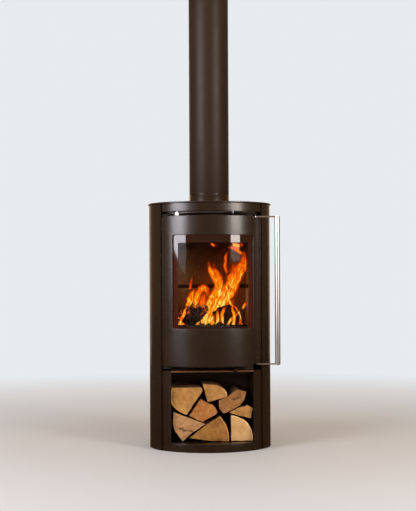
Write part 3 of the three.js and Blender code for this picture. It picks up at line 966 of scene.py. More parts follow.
@dataclass(frozen=True)
class Oval:
    """The oval plan of the body."""

    half_width: float
    half_depth: float

    def front(self, x: float, depth: float, z: float) -> Vector:
        """Returns the point `depth` inside the front skin at an x position."""
        wide = self.half_width - depth
        deep = self.half_depth - depth
        return Vector((x, -deep * math.sqrt(max(0.0, 1.0 - (x / wide) ** 2)), z))

    def outline(self, inset: float = 0.0, segments: int = 480) -> bmesh.types.BMesh:
        """Returns the whole oval as a loop of edges at floor level.

        Args:
            inset: How far the loop lies inside the skin.
            segments: Edges in the loop.

        Returns:
            The loop.
        """
        bm = bmesh.new()
        bmesh.ops.create_circle(bm, cap_ends=False, segments=segments, radius=1.0)
        bmesh.ops.scale(bm, vec=(self.half_width - inset, self.half_depth - inset, 1.0),
                        verts=bm.verts)
        return bm

    def bend(self, bm: bmesh.types.BMesh) -> None:
        """Wraps a flat part onto the front: its y is the depth inside the skin."""
        for vert in bm.verts:
            vert.co = self.front(vert.co.x, vert.co.y, vert.co.z)


OVAL = Oval(half_width=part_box("side_panel_right")[1].x, half_depth=-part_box("fascia")[0].y)


@dataclass(frozen=True)
class Opening:
    """A rounded rectangular window in a curved part."""

    left: float
    right: float
    low: float
    high: float
    corner: float

    def loop(self, steps: int = 6) -> bmesh.types.BMesh:
        """Returns the window's edge as a loop with rounded corners.

        Args:
            steps: Edges in each corner.

        Returns:
            The loop.
        """
        points = []
        centres = rectangle(self.left + self.corner, self.right - self.corner,
                            self.low + self.corner, self.high - self.corner)
        for quarter, (x, z) in enumerate(centres):
            for step in range(steps + 1):
                angle = math.pi / 2 * (quarter + step / steps + 2)
                points.append((x + self.corner * math.cos(angle),
                               z + self.corner * math.sin(angle)))
        return closed_loop(points)


@dataclass(frozen=True)
class CurvedPlate:
    """A plate bent to the stove's front, with an optional window.

    Attributes:
        outline: Its corners, as x and z.
        outer: Depth of its outer face inside the stove's skin.
        thickness: Its thickness.
        opening: Its window, if it has one.
        edge: Width of the rounding along its front edges.
        segments: Steps across that rounding.
        strip: Width of the flats that it bends in.
    """

    outline: tuple[tuple[float, float], ...]
    outer: float
    thickness: float
    opening: Opening | None = None
    edge: float = 0.001
    segments: int = 2
    strip: float = 0.004

    def mesh(self) -> bmesh.types.BMesh:
        """Returns the plate, cut flat, rounded along its front edges and then bent."""
        loops = [closed_loop(self.outline)] + ([self.opening.loop()] if self.opening else [])
        bm = merged(*loops)
        bmesh.ops.triangle_fill(bm, use_beauty=True, use_dissolve=False, edges=bm.edges[:])
        raised(bm, (0.0, self.thickness, 0.0))
        bmesh.ops.recalc_face_normals(bm, faces=bm.faces[:])
        front = [e for e in sharp_edges(bm) if max(v.co.y for v in e.verts) < 1e-6]
        bevel(bm, front, self.edge, self.segments)
        bmesh.ops.translate(bm, vec=(0.0, self.outer, 0.0), verts=bm.verts)
        across = [x for x, _ in self.outline]
        slice_evenly(bm, 0, min(across), max(across), self.strip)
        OVAL.bend(bm)
        return bm


# ---- Sub-assemblies ------------------------------------------------------------------------------


@dataclass
class Casing:
    """The painted outer body: side panels, fascia, plinth, top plate and back."""

    sheet: float = 0.003
    flange_end: float = -0.093
    front_edge: float = 0.190
    panel_edge: float = 0.0022
    top_edge: float = 0.0018
    back_edge: float = 0.0007
    flue_hole: float = 0.0775
    screw: float = 0.0045
    screw_inset: float = 0.010
    screw_heights: tuple[float, ...] = (0.035, 0.33, 0.62)
    top_screw_drop: float = 0.03

    def build(self) -> None:
        """Builds every casing piece."""
        for side, sign in (("left", -1.0), ("right", 1.0)):
            finish_piece(self.side_panel(sign), f"side_panel_{side}_piece", Body.CASING,
                         Slot.PAINT, replaces=(f"side_panel_{side}",))
        for node in ("fascia", "front_plinth"):
            low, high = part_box(node)
            plate = CurvedPlate(rectangle(low.x, high.x, low.z, high.z), 0.0, self.sheet,
                                edge=0.0008)
            finish_piece(plate.mesh(), f"{node}_piece", Body.CASING, Slot.PAINT,
                         replaces=(node,), even=True)
        finish_piece(self.top_plate(), "top_plate_piece", Body.CASING, Slot.PAINT,
                     replaces=("top_plate",), even=True)
        detailed("back_panel", self.back_edge)
        detailed("base_plate")
        self.fasteners()

    def side_panel(self, sign: float) -> bmesh.types.BMesh:
        """Returns a side panel with its turned-in front flange.

        Args:
            sign: -1 for the left panel, 1 for the right.

        Returns:
            The panel.
        """
        low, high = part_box("side_panel_right")
        bm = OVAL.outline()
        keep_side(bm, (0, 0, 0), (-1, 0, 0))
        keep_side(bm, (0, high.y, 0), (0, 1, 0))
        bmesh.ops.bisect_plane(bm, geom=bm.verts[:] + bm.edges[:], plane_no=(1, 0, 0),
                               plane_co=(self.front_edge, 0, 0))
        before = [v for v in bm.verts if v.co.y < 0 and v.co.x < self.front_edge - 1e-6]
        bmesh.ops.delete(bm, geom=before, context="VERTS")
        front = min(bm.verts, key=lambda vert: vert.co.y)
        tip = bmesh.ops.extrude_vert_indiv(bm, verts=[front])["verts"][0]
        tip.co = Vector((self.front_edge, self.flange_end, 0.0))
        raised(bm, (0.0, 0.0, high.z - low.z))
        bmesh.ops.recalc_face_normals(bm, faces=bm.faces[:])
        bevel(bm, sharp_edges(bm), self.panel_edge, 4)
        middle = min(bm.faces, key=lambda face: abs(face.calc_center_median().y))
        inward = -1.0 if middle.normal.x > 0 else 1.0
        bmesh.ops.solidify(bm, geom=bm.faces[:], thickness=-inward * self.sheet)
        if sign < 0:
            bmesh.ops.scale(bm, vec=(-1, 1, 1), verts=bm.verts)
        return bm

    def top_plate(self) -> bmesh.types.BMesh:
        """Returns the top plate with its flue hole and softly rounded rim."""
        low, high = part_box("top_plate")
        hole = bmesh.new()
        bmesh.ops.create_circle(hole, cap_ends=False, segments=96, radius=self.flue_hole)
        bmesh.ops.translate(hole, vec=(0.0, flue_centre()[1], 0.0), verts=hole.verts)
        rim = Oval(high.x + 0.0001, -low.y).outline(segments=256)
        keep_side(rim, (0, high.y, 0), (0, 1, 0))
        ends = [v for v in rim.verts if len(v.link_edges) == 1]
        rim.edges.new(ends)
        bm = merged(rim, hole)
        bmesh.ops.triangle_fill(bm, use_beauty=True, use_dissolve=False, edges=bm.edges[:])
        raised(bm, (0.0, 0.0, high.z - low.z))
        bmesh.ops.translate(bm, vec=(0.0, 0.0, low.z), verts=bm.verts)
        bmesh.ops.recalc_face_normals(bm, faces=bm.faces[:])
        bevel(bm, sharp_edges(bm), self.top_edge, 3)
        return bm

    def fasteners(self) -> None:
        """Adds the screws that hold the back panel."""
        low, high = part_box("back_panel")
        heads = []
        for x in (low.x + self.screw_inset, high.x - self.screw_inset):
            for z in (*self.screw_heights, high.z - self.top_screw_drop):
                heads.append(screw_head((x, high.y, z), (0, 1, 0), self.screw))
        finish_piece(merged(*heads), "back_panel_screws", Body.CASING, Slot.STAINLESS, even=True)


@dataclass
class Flue:
    """The collar on the firebox and the first length of pipe."""

    wall: float = 0.002
    roll: float = 0.0012
    seam_gap: float = 0.0016
    lip: float = 0.0004
    throat: float = 0.0705
    socket: float = 0.0746
    flange: float = 0.004
    weld: float = 0.0022
    paint: SatinPaint = SatinPaint("flue_paint", (0.026, 0.0125, 0.0056), (0.034, 0.017, 0.008),
                                   0.43, 0.50, 1.36)

    def build(self) -> None:
        """Builds the collar, the pipe and the pipe's weld seam."""
        centre = flue_centre()
        low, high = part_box("flue_pipe")
        outer = (high.x - low.x) / 2
        inner = outer - self.wall
        foot, top = low.z + self.seam_gap, high.z
        lip, half_roll = self.lip, self.roll / 2
        pipe = turned([(inner, foot + lip), (inner + lip, foot), (outer - self.roll, foot),
                       (outer - 0.3 * self.roll, foot + 0.3 * self.roll),
                       (outer, foot + self.roll), (outer, top - half_roll),
                       (outer - half_roll, top), (inner + lip, top), (inner, top - lip)],
                      centre, 128)
        finish_piece(pipe, "flue_pipe_piece", Body.CASING, Slot.PAINT, (self.paint,),
                     ("flue_pipe",))
        finish_piece(self.weld_seam(centre, inner, foot, top), "flue_pipe_weld", Body.CASING,
                     Slot.PAINT, (self.paint,))
        self.collar(centre, outer)

    def collar(self, centre: tuple[float, float], outer: float) -> None:
        """Builds the collar with its flange and the band that the pipe stands on.

        Args:
            centre: The flue's axis, as x and y.
            outer: The pipe's outer radius.
        """
        low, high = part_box("flue_collar")
        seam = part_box("flue_pipe")[0].z
        band = outer + 0.0006
        rim = (high.x - low.x) / 2
        top = low.z + self.flange
        profile = [(self.throat, low.z), (rim, low.z), (rim, top - 0.001), (rim - 0.001, top),
                   (band + self.flange, top), (band, top + self.flange),
                   (band, seam - self.seam_gap), (band - 0.0006, seam - 0.0005),
                   (band - 0.0018, seam), (self.socket, seam), (self.socket, high.z - 0.001),
                   (self.socket - 0.0008, high.z), (self.throat, high.z)]
        finish_piece(turned(profile, centre, 128), "flue_collar_piece", Body.CASING, Slot.PAINT,
                     replaces=("flue_collar",))

    def weld_seam(self, centre: tuple[float, float], inner: float, foot: float,
                  top: float) -> bmesh.types.BMesh:
        """Returns the low welded seam that runs up the back of the pipe.

        Args:
            centre: The flue's axis, as x and y.
            inner: The pipe's inner radius.
            foot: Height of the pipe's foot.
            top: Height of its top.

        Returns:
            The seam.
        """
        bm = block((-self.weld, inner, foot + 0.002),
                   (self.weld, inner + self.wall + 0.0005, top - 0.002), 0.0004)
        slice_evenly(bm, 2, foot, top, 0.02)
        bmesh.ops.translate(bm, vec=(*centre, 0.0), verts=bm.verts)
        return bm


@dataclass
class Door:
    """The curved door: skin, returns, glass, seals and the frame behind them.

    Attributes:
        steel: Thickness of the door's sheet.
        window: The opening in the skin.
        sight: The clear part of the glass, inside its printed border.
        edge: Width of the rounding round the skin.
        notch: Where the skin is cut back on the handle's side, to clear its arms.
        notch_top: How far the cut-back reaches below the skin's top.
        notch_foot: How far it reaches above the skin's foot.
        lap: How far the flanges run into the skin.
        return_front: Where the turned-in sides begin.
        glass_depth: Depth of the pane inside the stove's skin.
        glass: Thickness of the pane.
        border: Thickness of its printed border.
        border_margin: Clear edge outside the border.
        screw: Radius of the screw heads in the back frame.
        screw_columns: Where those screws stand, as x.
        screw_heights: Their heights.
    """

    steel: float = 0.004
    window: Opening = Opening(-0.149, 0.156, 0.462, 0.814, 0.008)
    sight: Opening = Opening(-0.128, 0.137, 0.470, 0.785, 0.0025)
    edge: float = 0.0014
    notch: float = 0.158
    notch_top: float = 0.007
    notch_foot: float = 0.0105
    lap: float = 0.0004
    return_front: float = -0.1133
    glass_depth: float = 0.007
    glass: float = 0.004
    border: float = 0.00024
    border_margin: float = 0.002
    screw: float = 0.003
    screw_columns: tuple[float, float] = (-0.1715, 0.1565)
    screw_heights: tuple[float, ...] = (0.36, 0.50, 0.70, 0.86)

    def build(self) -> None:
        """Builds every door piece."""
        self.skin()
        self.returns()
        self.glazing()
        detailed("door_back_frame", 0.0005)
        detailed("door_seal", 0.0025, 4)
        detailed("glass_gasket", 0.0009, 3)
        detailed("glass_clip_left", 0.0006)
        detailed("glass_clip_right", 0.0006)
        self.screws()

    def skin(self) -> None:
        """Builds the outer skin with its window."""
        low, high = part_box("door_skin")
        top, bottom = high.z - self.notch_top, low.z + self.notch_foot
        outline = ((low.x, low.z), (self.notch, low.z), (self.notch, bottom), (high.x, bottom),
                   (high.x, top), (self.notch, top), (self.notch, high.z), (low.x, high.z))
        plate = CurvedPlate(outline, 0.0, self.steel, self.window, self.edge, 3)
        finish_piece(plate.mesh(), "door_skin_piece", Body.DOOR, Slot.PAINT,
                     replaces=("door_skin",), even=True)

    def returns(self) -> None:
        """Builds the turned-in sides and the top and bottom flanges that carry the hinge and shaft."""
        low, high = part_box("door_skin")
        top, bottom = high.z - self.notch_top, low.z + self.notch_foot
        for name, z0 in (("upper", top - self.steel), ("lower", bottom)):
            inset = self.steel - self.lap
            bm = OVAL.outline(inset)
            keep_side(bm, (0, high.y, 0), (0, 1, 0))
            keep_side(bm, (high.x - inset, 0, 0), (1, 0, 0))
            keep_side(bm, (low.x + inset, 0, 0), (-1, 0, 0))
            self._close_back(bm, high)
            raised(bm, (0.0, 0.0, self.steel))
            bmesh.ops.translate(bm, vec=(0.0, 0.0, z0), verts=bm.verts)
            finish_piece(bm, f"door_flange_{name}", Body.DOOR, Slot.PAINT)
        for name, x0 in (("left", low.x), ("right", high.x - self.steel)):
            side = block((x0, self.return_front, bottom), (x0 + self.steel, high.y, top))
            finish_piece(side, f"door_return_{name}", Body.DOOR, Slot.PAINT, even=True)

    def _close_back(self, bm: bmesh.types.BMesh, high: Vector) -> None:
        """Closes a front arc with straight sides and a straight back, and fills it.

        Args:
            bm: The arc's edges.
            high: Highest corner of the door, whose y is the straight back.
        """
        ends = sorted((v for v in bm.verts if len(v.link_edges) == 1), key=lambda v: v.co.x)
        corners = [bm.verts.new((v.co.x, high.y, 0.0)) for v in ends]
        for pair in ((ends[0], corners[0]), tuple(corners), (corners[1], ends[1])):
            bm.edges.new(pair)
        bmesh.ops.triangle_fill(bm, use_beauty=True, use_dissolve=True, edges=bm.edges[:])

    def glazing(self) -> None:
        """Builds the bent pane, its printed border with its painted glow, and the retaining frame."""
        low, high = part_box("door_glass")
        pane = CurvedPlate(rectangle(low.x, high.x, low.z, high.z), self.glass_depth,
                           self.glass, edge=0.0006)
        finish_piece(pane.mesh(), "door_glass_pane", Body.DOOR, Slot.GLASS,
                     replaces=("door_glass",), even=True)
        margin = self.border_margin
        outline = rectangle(low.x + margin, high.x - margin, low.z + margin, high.z - margin)
        border = CurvedPlate(outline, self.glass_depth - self.border - 0.00004, self.border,
                             self.sight, 0.00004, 1)
        finish_piece(border.mesh(), "door_glass_border", Body.DOOR, Slot.GLASS,
                     (PrintedBorder(),))
        detailed("glass_frame", 0.0006)

    def screws(self) -> None:
        """Adds the screws that hold the back frame and the glass clips."""
        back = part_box("door_back_frame")[1].y
        heads = [screw_head((x, back - 0.0001, z), (0, 1, 0), self.screw)
                 for x in self.screw_columns for z in self.screw_heights]
        finish_piece(merged(*heads), "door_back_frame_screws", Body.DOOR, Slot.STAINLESS)


@dataclass
class Handle:
    """The bar handle on its two arms, with the shaft and latch hooks."""

    end_round: float = 0.0012
    shaft_round: float = 0.0008
    arm_edge: float = 0.0009
    hook_edge: float = 0.0008
    screw: float = 0.0042

    def build(self) -> None:
        """Builds every handle piece."""
        low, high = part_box("handle_bar")
        centre = (low + high) / 2
        bar = cylinder(centre, (0, 0, 1), (high.x - low.x) / 2, high.z - low.z, self.end_round, 64)
        finish_piece(bar, "handle_bar_piece", Body.HANDLE, Slot.STAINLESS,
                     replaces=("handle_bar",), even=True)
        low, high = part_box("handle_shaft")
        shaft = cylinder((low + high) / 2, (0, 0, 1), (high.x - low.x) / 2, high.z - low.z,
                         self.shaft_round, 40)
        finish_piece(shaft, "handle_shaft_piece", Body.HANDLE, Slot.STAINLESS,
                     replaces=("handle_shaft",), even=True)
        for end in ("upper", "lower"):
            detailed(f"handle_arm_{end}", self.arm_edge, 3)
            detailed(f"latch_hook_{end}", self.hook_edge)
        self.caps()

    def caps(self) -> None:
        """Adds the screws that hold the bar to the arms."""
        low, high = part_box("handle_bar")
        centre = (low + high) / 2
        heads = []
        for end, way in (("upper", 1), ("lower", -1)):
            arm_low, arm_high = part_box(f"handle_arm_{end}")
            z = arm_high.z if way > 0 else arm_low.z
            heads.append(screw_head((centre.x, centre.y, z), (0, 0, way), self.screw))
        finish_piece(merged(*heads), "handle_screws", Body.HANDLE, Slot.STAINLESS, even=True)


@dataclass
class AirControls:
    """The upper slider with its tab, the lower slide with its knob, and the air supply."""

    thin_edge: float = 0.0004
    slide_edge: float = 0.0005
    sheet_edge: float = 0.0006
    knob_edge: float = 0.0016
    knob_steel: BrushedSteel = BrushedSteel("heat_darkened_stainless", (0.05, 0.035, 0.025),
                                            (0.11, 0.08, 0.055))

    def build(self) -> None:
        """Builds every air piece."""
        detailed("air_tab", self.sheet_edge)
        detailed("air_slider", self.thin_edge)
        detailed("air_guide", self.thin_edge)
        detailed("primary_slide", self.slide_edge)
        detailed("primary_knob", self.knob_edge, 3, self.knob_steel)
        detailed("air_box", self.sheet_edge)
        detailed("air_spigot", self.slide_edge)


@dataclass
class Firebox:
    """The steel firebox with its lining, grate, baffles, ash pan and hinge brackets."""

    brick_edge: float = 0.0022
    sheet_edge: float = 0.0006
    grate_edge: float = 0.0016
    guard_edge: float = 0.0013

    def build(self) -> None:
        """Builds every firebox piece."""
        for node in sorted(frame["nodes"]):
            if "brick" in node or node == "baffle_lower":
                detailed(node, self.brick_edge)
        for node in ("firebox_wall_left", "firebox_wall_right", "firebox_wall_back",
                     "firebox_floor", "firebox_roof", "firebox_front", "heat_shield",
                     "grate_bed", "hinge_upper", "hinge_lower", "baffle_upper"):
            detailed(node, self.sheet_edge)
        detailed("grate", self.grate_edge, 3)
        detailed("log_guard", self.guard_edge, 3)
        detailed("ash_pan", self.sheet_edge)


@dataclass(frozen=True)
class SplitLog:
    """One split log lying along Y.

    Attributes:
        name: The piece's name.
        corners: Its outline seen from the front, as x and z in millimetres.
        bark: The sides of the outline that carry bark, counted from the first corner.
        bulge: How far those sides bow out, in millimetres.
        front: Where the log begins, as y.
        back: Where it ends.
        end_finish: The finish of its sawn ends.
        wobble: Depth of its roughness.
        seed: Which roughness it gets.
    """

    name: str
    corners: tuple[tuple[float, float], ...]
    bark: tuple[int, ...]
    bulge: float
    front: float
    back: float
    end_finish: Finish
    wobble: float = 0.0016
    seed: int = 0

    def mesh(self) -> bmesh.types.BMesh:
        """Returns the log with sawn, split and bark faces numbered for their finishes."""
        bm = bmesh.new()
        outline = self._outline()
        verts = [bm.verts.new(point) for point, _ in outline]
        centre = bm.faces.new(verts).calc_center_median()
        layer = bm.edges.layers.int.new("bark")
        for (_, bark), first, second in zip(outline, verts, verts[1:] + verts[:1]):
            bm.edges.get((first, second))[layer] = int(bark)
        raised(bm, (0.0, self.back - self.front, 0.0))
        bmesh.ops.recalc_face_normals(bm, faces=bm.faces[:])
        slice_evenly(bm, 1, self.front, self.back, 0.012)
        self._roughen(bm, centre)
        return bm

    def _outline(self) -> list[tuple[Vector, bool]]:
        """Returns the front outline's points, each with whether bark follows it."""
        corners = [Vector((x / 1000, self.front, z / 1000)) for x, z in self.corners]
        centre = sum(corners, Vector()) / len(corners)
        points = []
        for side, (start, end) in enumerate(zip(corners, corners[1:] + corners[:1])):
            bark = side in self.bark
            away = ((start + end) / 2 - centre).normalized() * (self.bulge / 1000 if bark else 0.0)
            steps = max(1, round((end - start).length / 0.006))
            for step in range(steps):
                t = step / steps
                points.append((start.lerp(end, t) + away * 4 * t * (1 - t), bark))
        return points

    def _roughen(self, bm: bmesh.types.BMesh, centre: Vector) -> None:
        """Numbers the faces and roughens the sides along the fibres.

        Args:
            bm: The plain log.
            centre: Middle of its front end.
        """
        layer = bm.edges.layers.int["bark"]
        length = self.back - self.front
        for face in bm.faces:
            if abs(face.normal.y) > 0.7:
                face.material_index = 0
            else:
                face.material_index = 2 if any(e[layer] for e in face.edges) else 1
        shift = Vector((self.seed * 3.7, 0.0, self.seed * 1.3))
        for vert in bm.verts:
            out = Vector((vert.co.x - centre.x, 0.0, vert.co.z - centre.z)).normalized()
            coarse = noise.noise(Vector((vert.co.x * 45, vert.co.y * 9, vert.co.z * 45)) + shift)
            fine = noise.noise(Vector((vert.co.x * 190, vert.co.y * 22, vert.co.z * 190)) + shift)
            ends = min((vert.co.y - self.front) / length, (self.back - vert.co.y) / length)
            vert.co += out * self.wobble * (coarse + 0.5 * fine - 0.4)
            if ends < 1e-4:
                vert.co.y += 0.0006 * fine * (1 if vert.co.y > 0 else -1)


class Oak(Enum):
    """Shades of oak, each with the wood between its rings and the rings themselves."""

    TAN = ((0.56, 0.285, 0.085), (0.34, 0.148, 0.034))
    ORANGE = ((0.53, 0.21, 0.052), (0.32, 0.107, 0.022))
    BROWN = ((0.42, 0.19, 0.06), (0.21, 0.08, 0.022))
    PINK = ((0.62, 0.335, 0.15), (0.36, 0.17, 0.065))
    GOLD = ((0.43, 0.2, 0.045), (0.245, 0.095, 0.018))
    PALE = ((0.74, 0.45, 0.19), (0.54, 0.29, 0.105))


def end_grain(name: str, tone: Oak, pith: tuple[float, float], ring: float = 0.0042,
              heart: float = 0.3, sapwood: float = 1.0,
              crack: tuple[float, float, float, float] | None = None) -> EndGrain:
    """Returns the end grain finish of one log.

    Args:
        name: The log's name.
        tone: Its shade.
        pith: Where its rings are centred.
        ring: Distance between its rings.
        heart: Share of dark flecks.
        sapwood: Distance from the pith at which the pale rim begins.
        crack: A crack's middle, tilt in degrees and half length, if it has one.

    Returns:
        The finish.
    """
    pale, deep = tone.value
    return EndGrain(f"{name}_end_grain", pith, pale, deep, ring, heart, sapwood, crack)


@dataclass
class LogStore:
    """The open log store and the split logs stacked in it."""

    # Painted highlight: a lighter, amber paint for the store roof, so its front lip reads as catching
    # light.
    lip: SatinPaint = SatinPaint("lip_painted_highlight_paint", (0.09, 0.036, 0.012), (0.22, 0.09, 0.03))
    # Painted light: a lighter brown paint for the store back, standing in for light reaching its
    # shaded inside.
    inner: SatinPaint = SatinPaint("store_back_painted_fill_light", (0.11, 0.062, 0.030), (0.17, 0.10, 0.052),
                                   0.5, 0.6)
    floor_edge: float = 0.0014
    cheek_edge: float = 0.0007
    roof_edge: float = 0.001
    back_edge: float = 0.0005

    def logs(self) -> list[SplitLog]:
        """Returns the stacked logs, corners in millimetres from the middle of the floor."""
        return [
            SplitLog("log_upper_left", ((-153, 239), (-43, 239), (-36, 228), (-40, 219),
                                        (-97, 136)), (4,), 30, -0.122, 0.098,
                     end_grain("log_upper_left", Oak.TAN, (-0.090, 0.207), 0.0052, 0.3, 0.064),
                     seed=1),
            SplitLog("log_upper_middle", ((-36, 251), (16, 247), (58, 206), (55, 200), (-18, 181)),
                     (1,), 10, -0.112, 0.104,
                     end_grain("log_upper_middle", Oak.TAN, (-0.018, 0.181), 0.006, 0.3, 0.074),
                     seed=2),
            SplitLog("log_middle", ((-44, 195), (-16, 178), (2, 173), (15, 156), (20, 146),
                                    (14, 136), (-38, 108), (-88, 132)), (), 0, -0.124, 0.09,
                     end_grain("log_middle", Oak.ORANGE, (-0.060, 0.210), 0.005), seed=3),
            SplitLog("log_right", ((25, 187), (60, 203), (76, 216), (98, 229), (131, 219),
                                   (122, 190), (97, 163), (43, 139), (27, 155)), (5, 6), 3, -0.116,
                     0.10, end_grain("log_right", Oak.BROWN, (0.088, 0.196), 0.0034, 0.45, 1.0,
                                     (0.090, 0.192, -25.0, 0.012)), seed=4),
            SplitLog("log_right_small", ((64, 141), (97, 160), (126, 165), (133, 171), (154, 158),
                                         (147, 119), (89, 134)), (), 0, -0.12, 0.08,
                     end_grain("log_right_small", Oak.TAN, (0.060, 0.150), 0.005), seed=5),
            SplitLog("log_lower_left", ((-147, 147), (-27, 100), (-80, 64), (-113, 36), (-136, 66),
                                        (-150, 100)), (4,), 2, -0.122, 0.10,
                     end_grain("log_lower_left", Oak.PINK, (-0.170, 0.175), 0.0036, 0.5, 1.0,
                               (-0.098, 0.076, 14.0, 0.034)), seed=6),
            SplitLog("log_lower_middle", ((29, 130), (63, 34), (-11, 37), (-87, 48), (-27, 95)),
                     (0,), 11, -0.126, 0.104,
                     end_grain("log_lower_middle", Oak.GOLD, (-0.076, 0.038), 0.0046, 0.3, 0.133),
                     seed=7),
            SplitLog("log_lower_right", ((71, 132), (105, 122), (135, 101), (150, 68), (153, 38),
                                         (151, 34.5), (71, 34.5)), (0, 1, 2, 3), 2.5, -0.12, 0.10,
                     end_grain("log_lower_right", Oak.PALE, (0.066, 0.045), 0.0058, 0.15, 0.081),
                     seed=8),
        ]

    def build(self) -> None:
        """Builds the store's sheets and its logs."""
        detailed("store_floor", self.floor_edge, 3)
        for side in ("left", "right"):
            detailed(f"store_cheek_{side}", self.cheek_edge)
        # The roof's paint holds the painted highlight on its lip.
        detailed("store_roof", self.roof_edge, 2, self.lip)
        # The back's paint holds painted light in its shade.
        detailed("store_back", self.back_edge, 2, self.inner)
        for log in self.logs():
            finish_piece(log.mesh(), log.name, Body.CASING, Slot.WOOD,
                         (log.end_finish, SplitFace(), Bark()))


@dataclass(frozen=True)
class Tongue:
    """One tongue of flame: a soft lens-shaped body along a curved path.

    Attributes:
        path: Points that it follows, as x and z in millimetres.
        width: Its greatest width, in millimetres.
        depth: Where it stands, as y.
        heat: How far its colour goes towards yellow.
        strands: Number of thin strands inside it.
        flat: Its thickness as a share of its width.
    """

    path: tuple[tuple[float, float], ...]
    width: float
    depth: float
    heat: float = 1.0
    strands: int = 0
    flat: float = 0.34

    def strand(self, draw: random.Random) -> "Tongue":
        """Returns a thin, hotter strand that wanders inside this tongue.

        Args:
            draw: Where its random numbers come from.

        Returns:
            The strand.
        """
        side = draw.uniform(-0.30, 0.30)
        path = tuple((x + self.width * (side + draw.uniform(-0.13, 0.13)),
                      z + draw.uniform(-7.0, 7.0)) for x, z in self.path)
        return Tongue(path[:draw.randint(max(2, len(path) - 2), len(path))],
                      self.width * draw.uniform(0.20, 0.36), self.depth - draw.uniform(0.004, 0.014),
                      round(min(1.4, self.heat * 1.25), 1))

    def _spot(self, t: float) -> tuple[Vector, Vector]:
        """Follows the path as a smooth curve.

        Args:
            t: Share of the path, from 0 to 1.

        Returns:
            The point there, and the curve's direction.
        """
        points = [Vector((x / 1000, self.depth, z / 1000)) for x, z in self.path]
        points = [2 * points[0] - points[1], *points, 2 * points[-1] - points[-2]]
        spans = len(points) - 3
        i = min(int(t * spans), spans - 1)
        f = t * spans - i
        a, b, c, d = points[i:i + 4]
        spot = 0.5 * (2 * b + (c - a) * f + (2 * a - 5 * b + 4 * c - d) * f * f
                      + (3 * b - a - 3 * c + d) * f ** 3)
        way = 0.5 * ((c - a) + 2 * (2 * a - 5 * b + 4 * c - d) * f
                     + 3 * (3 * b - a - 3 * c + d) * f * f)
        return spot, way.normalized()

    def mesh(self) -> bmesh.types.BMesh:
        """Returns the tongue with its across and along shares as a UV map."""
        bm = bmesh.new()
        bmesh.ops.create_cone(bm, cap_ends=True, cap_tris=True, segments=20, radius1=1.0,
                              radius2=1.0, depth=1.0)
        bmesh.ops.translate(bm, vec=(0, 0, 0.5), verts=bm.verts)
        slice_evenly(bm, 2, 0.0, 1.0, 0.03)
        layer = bm.loops.layers.uv.new("flame")
        for face in bm.faces:
            for loop in face.loops:
                loop[layer].uv = (0.5 + 0.5 * loop.vert.co.x, loop.vert.co.z)
        for vert in bm.verts:
            t = vert.co.z
            spot, way = self._spot(t)
            girth = (self.width / 2000) * (0.10 + 0.90 * math.sin(math.pi * min(1.0, 0.12 + 0.88 * t)
                                                                 ** 0.8) ** 0.8)
            across = Vector((way.z, 0.0, -way.x))
            ragged = 0.45 * noise.noise(Vector((vert.co.x * 2, self.depth * 90, spot.z * 60)))
            lick = 0.16 * noise.noise(Vector((self.width, self.depth * 70, spot.z * 34)))
            drift = 0.006 * noise.noise(Vector((spot.x * 12, 7.0, spot.z * 16)))
            offset = vert.co.x * girth * (1.0 + ragged) + lick * self.width / 1000
            vert.co = (spot + across * offset
                       + Vector((0.0, vert.co.y * girth * self.flat + drift, 0.0)))
        return bm


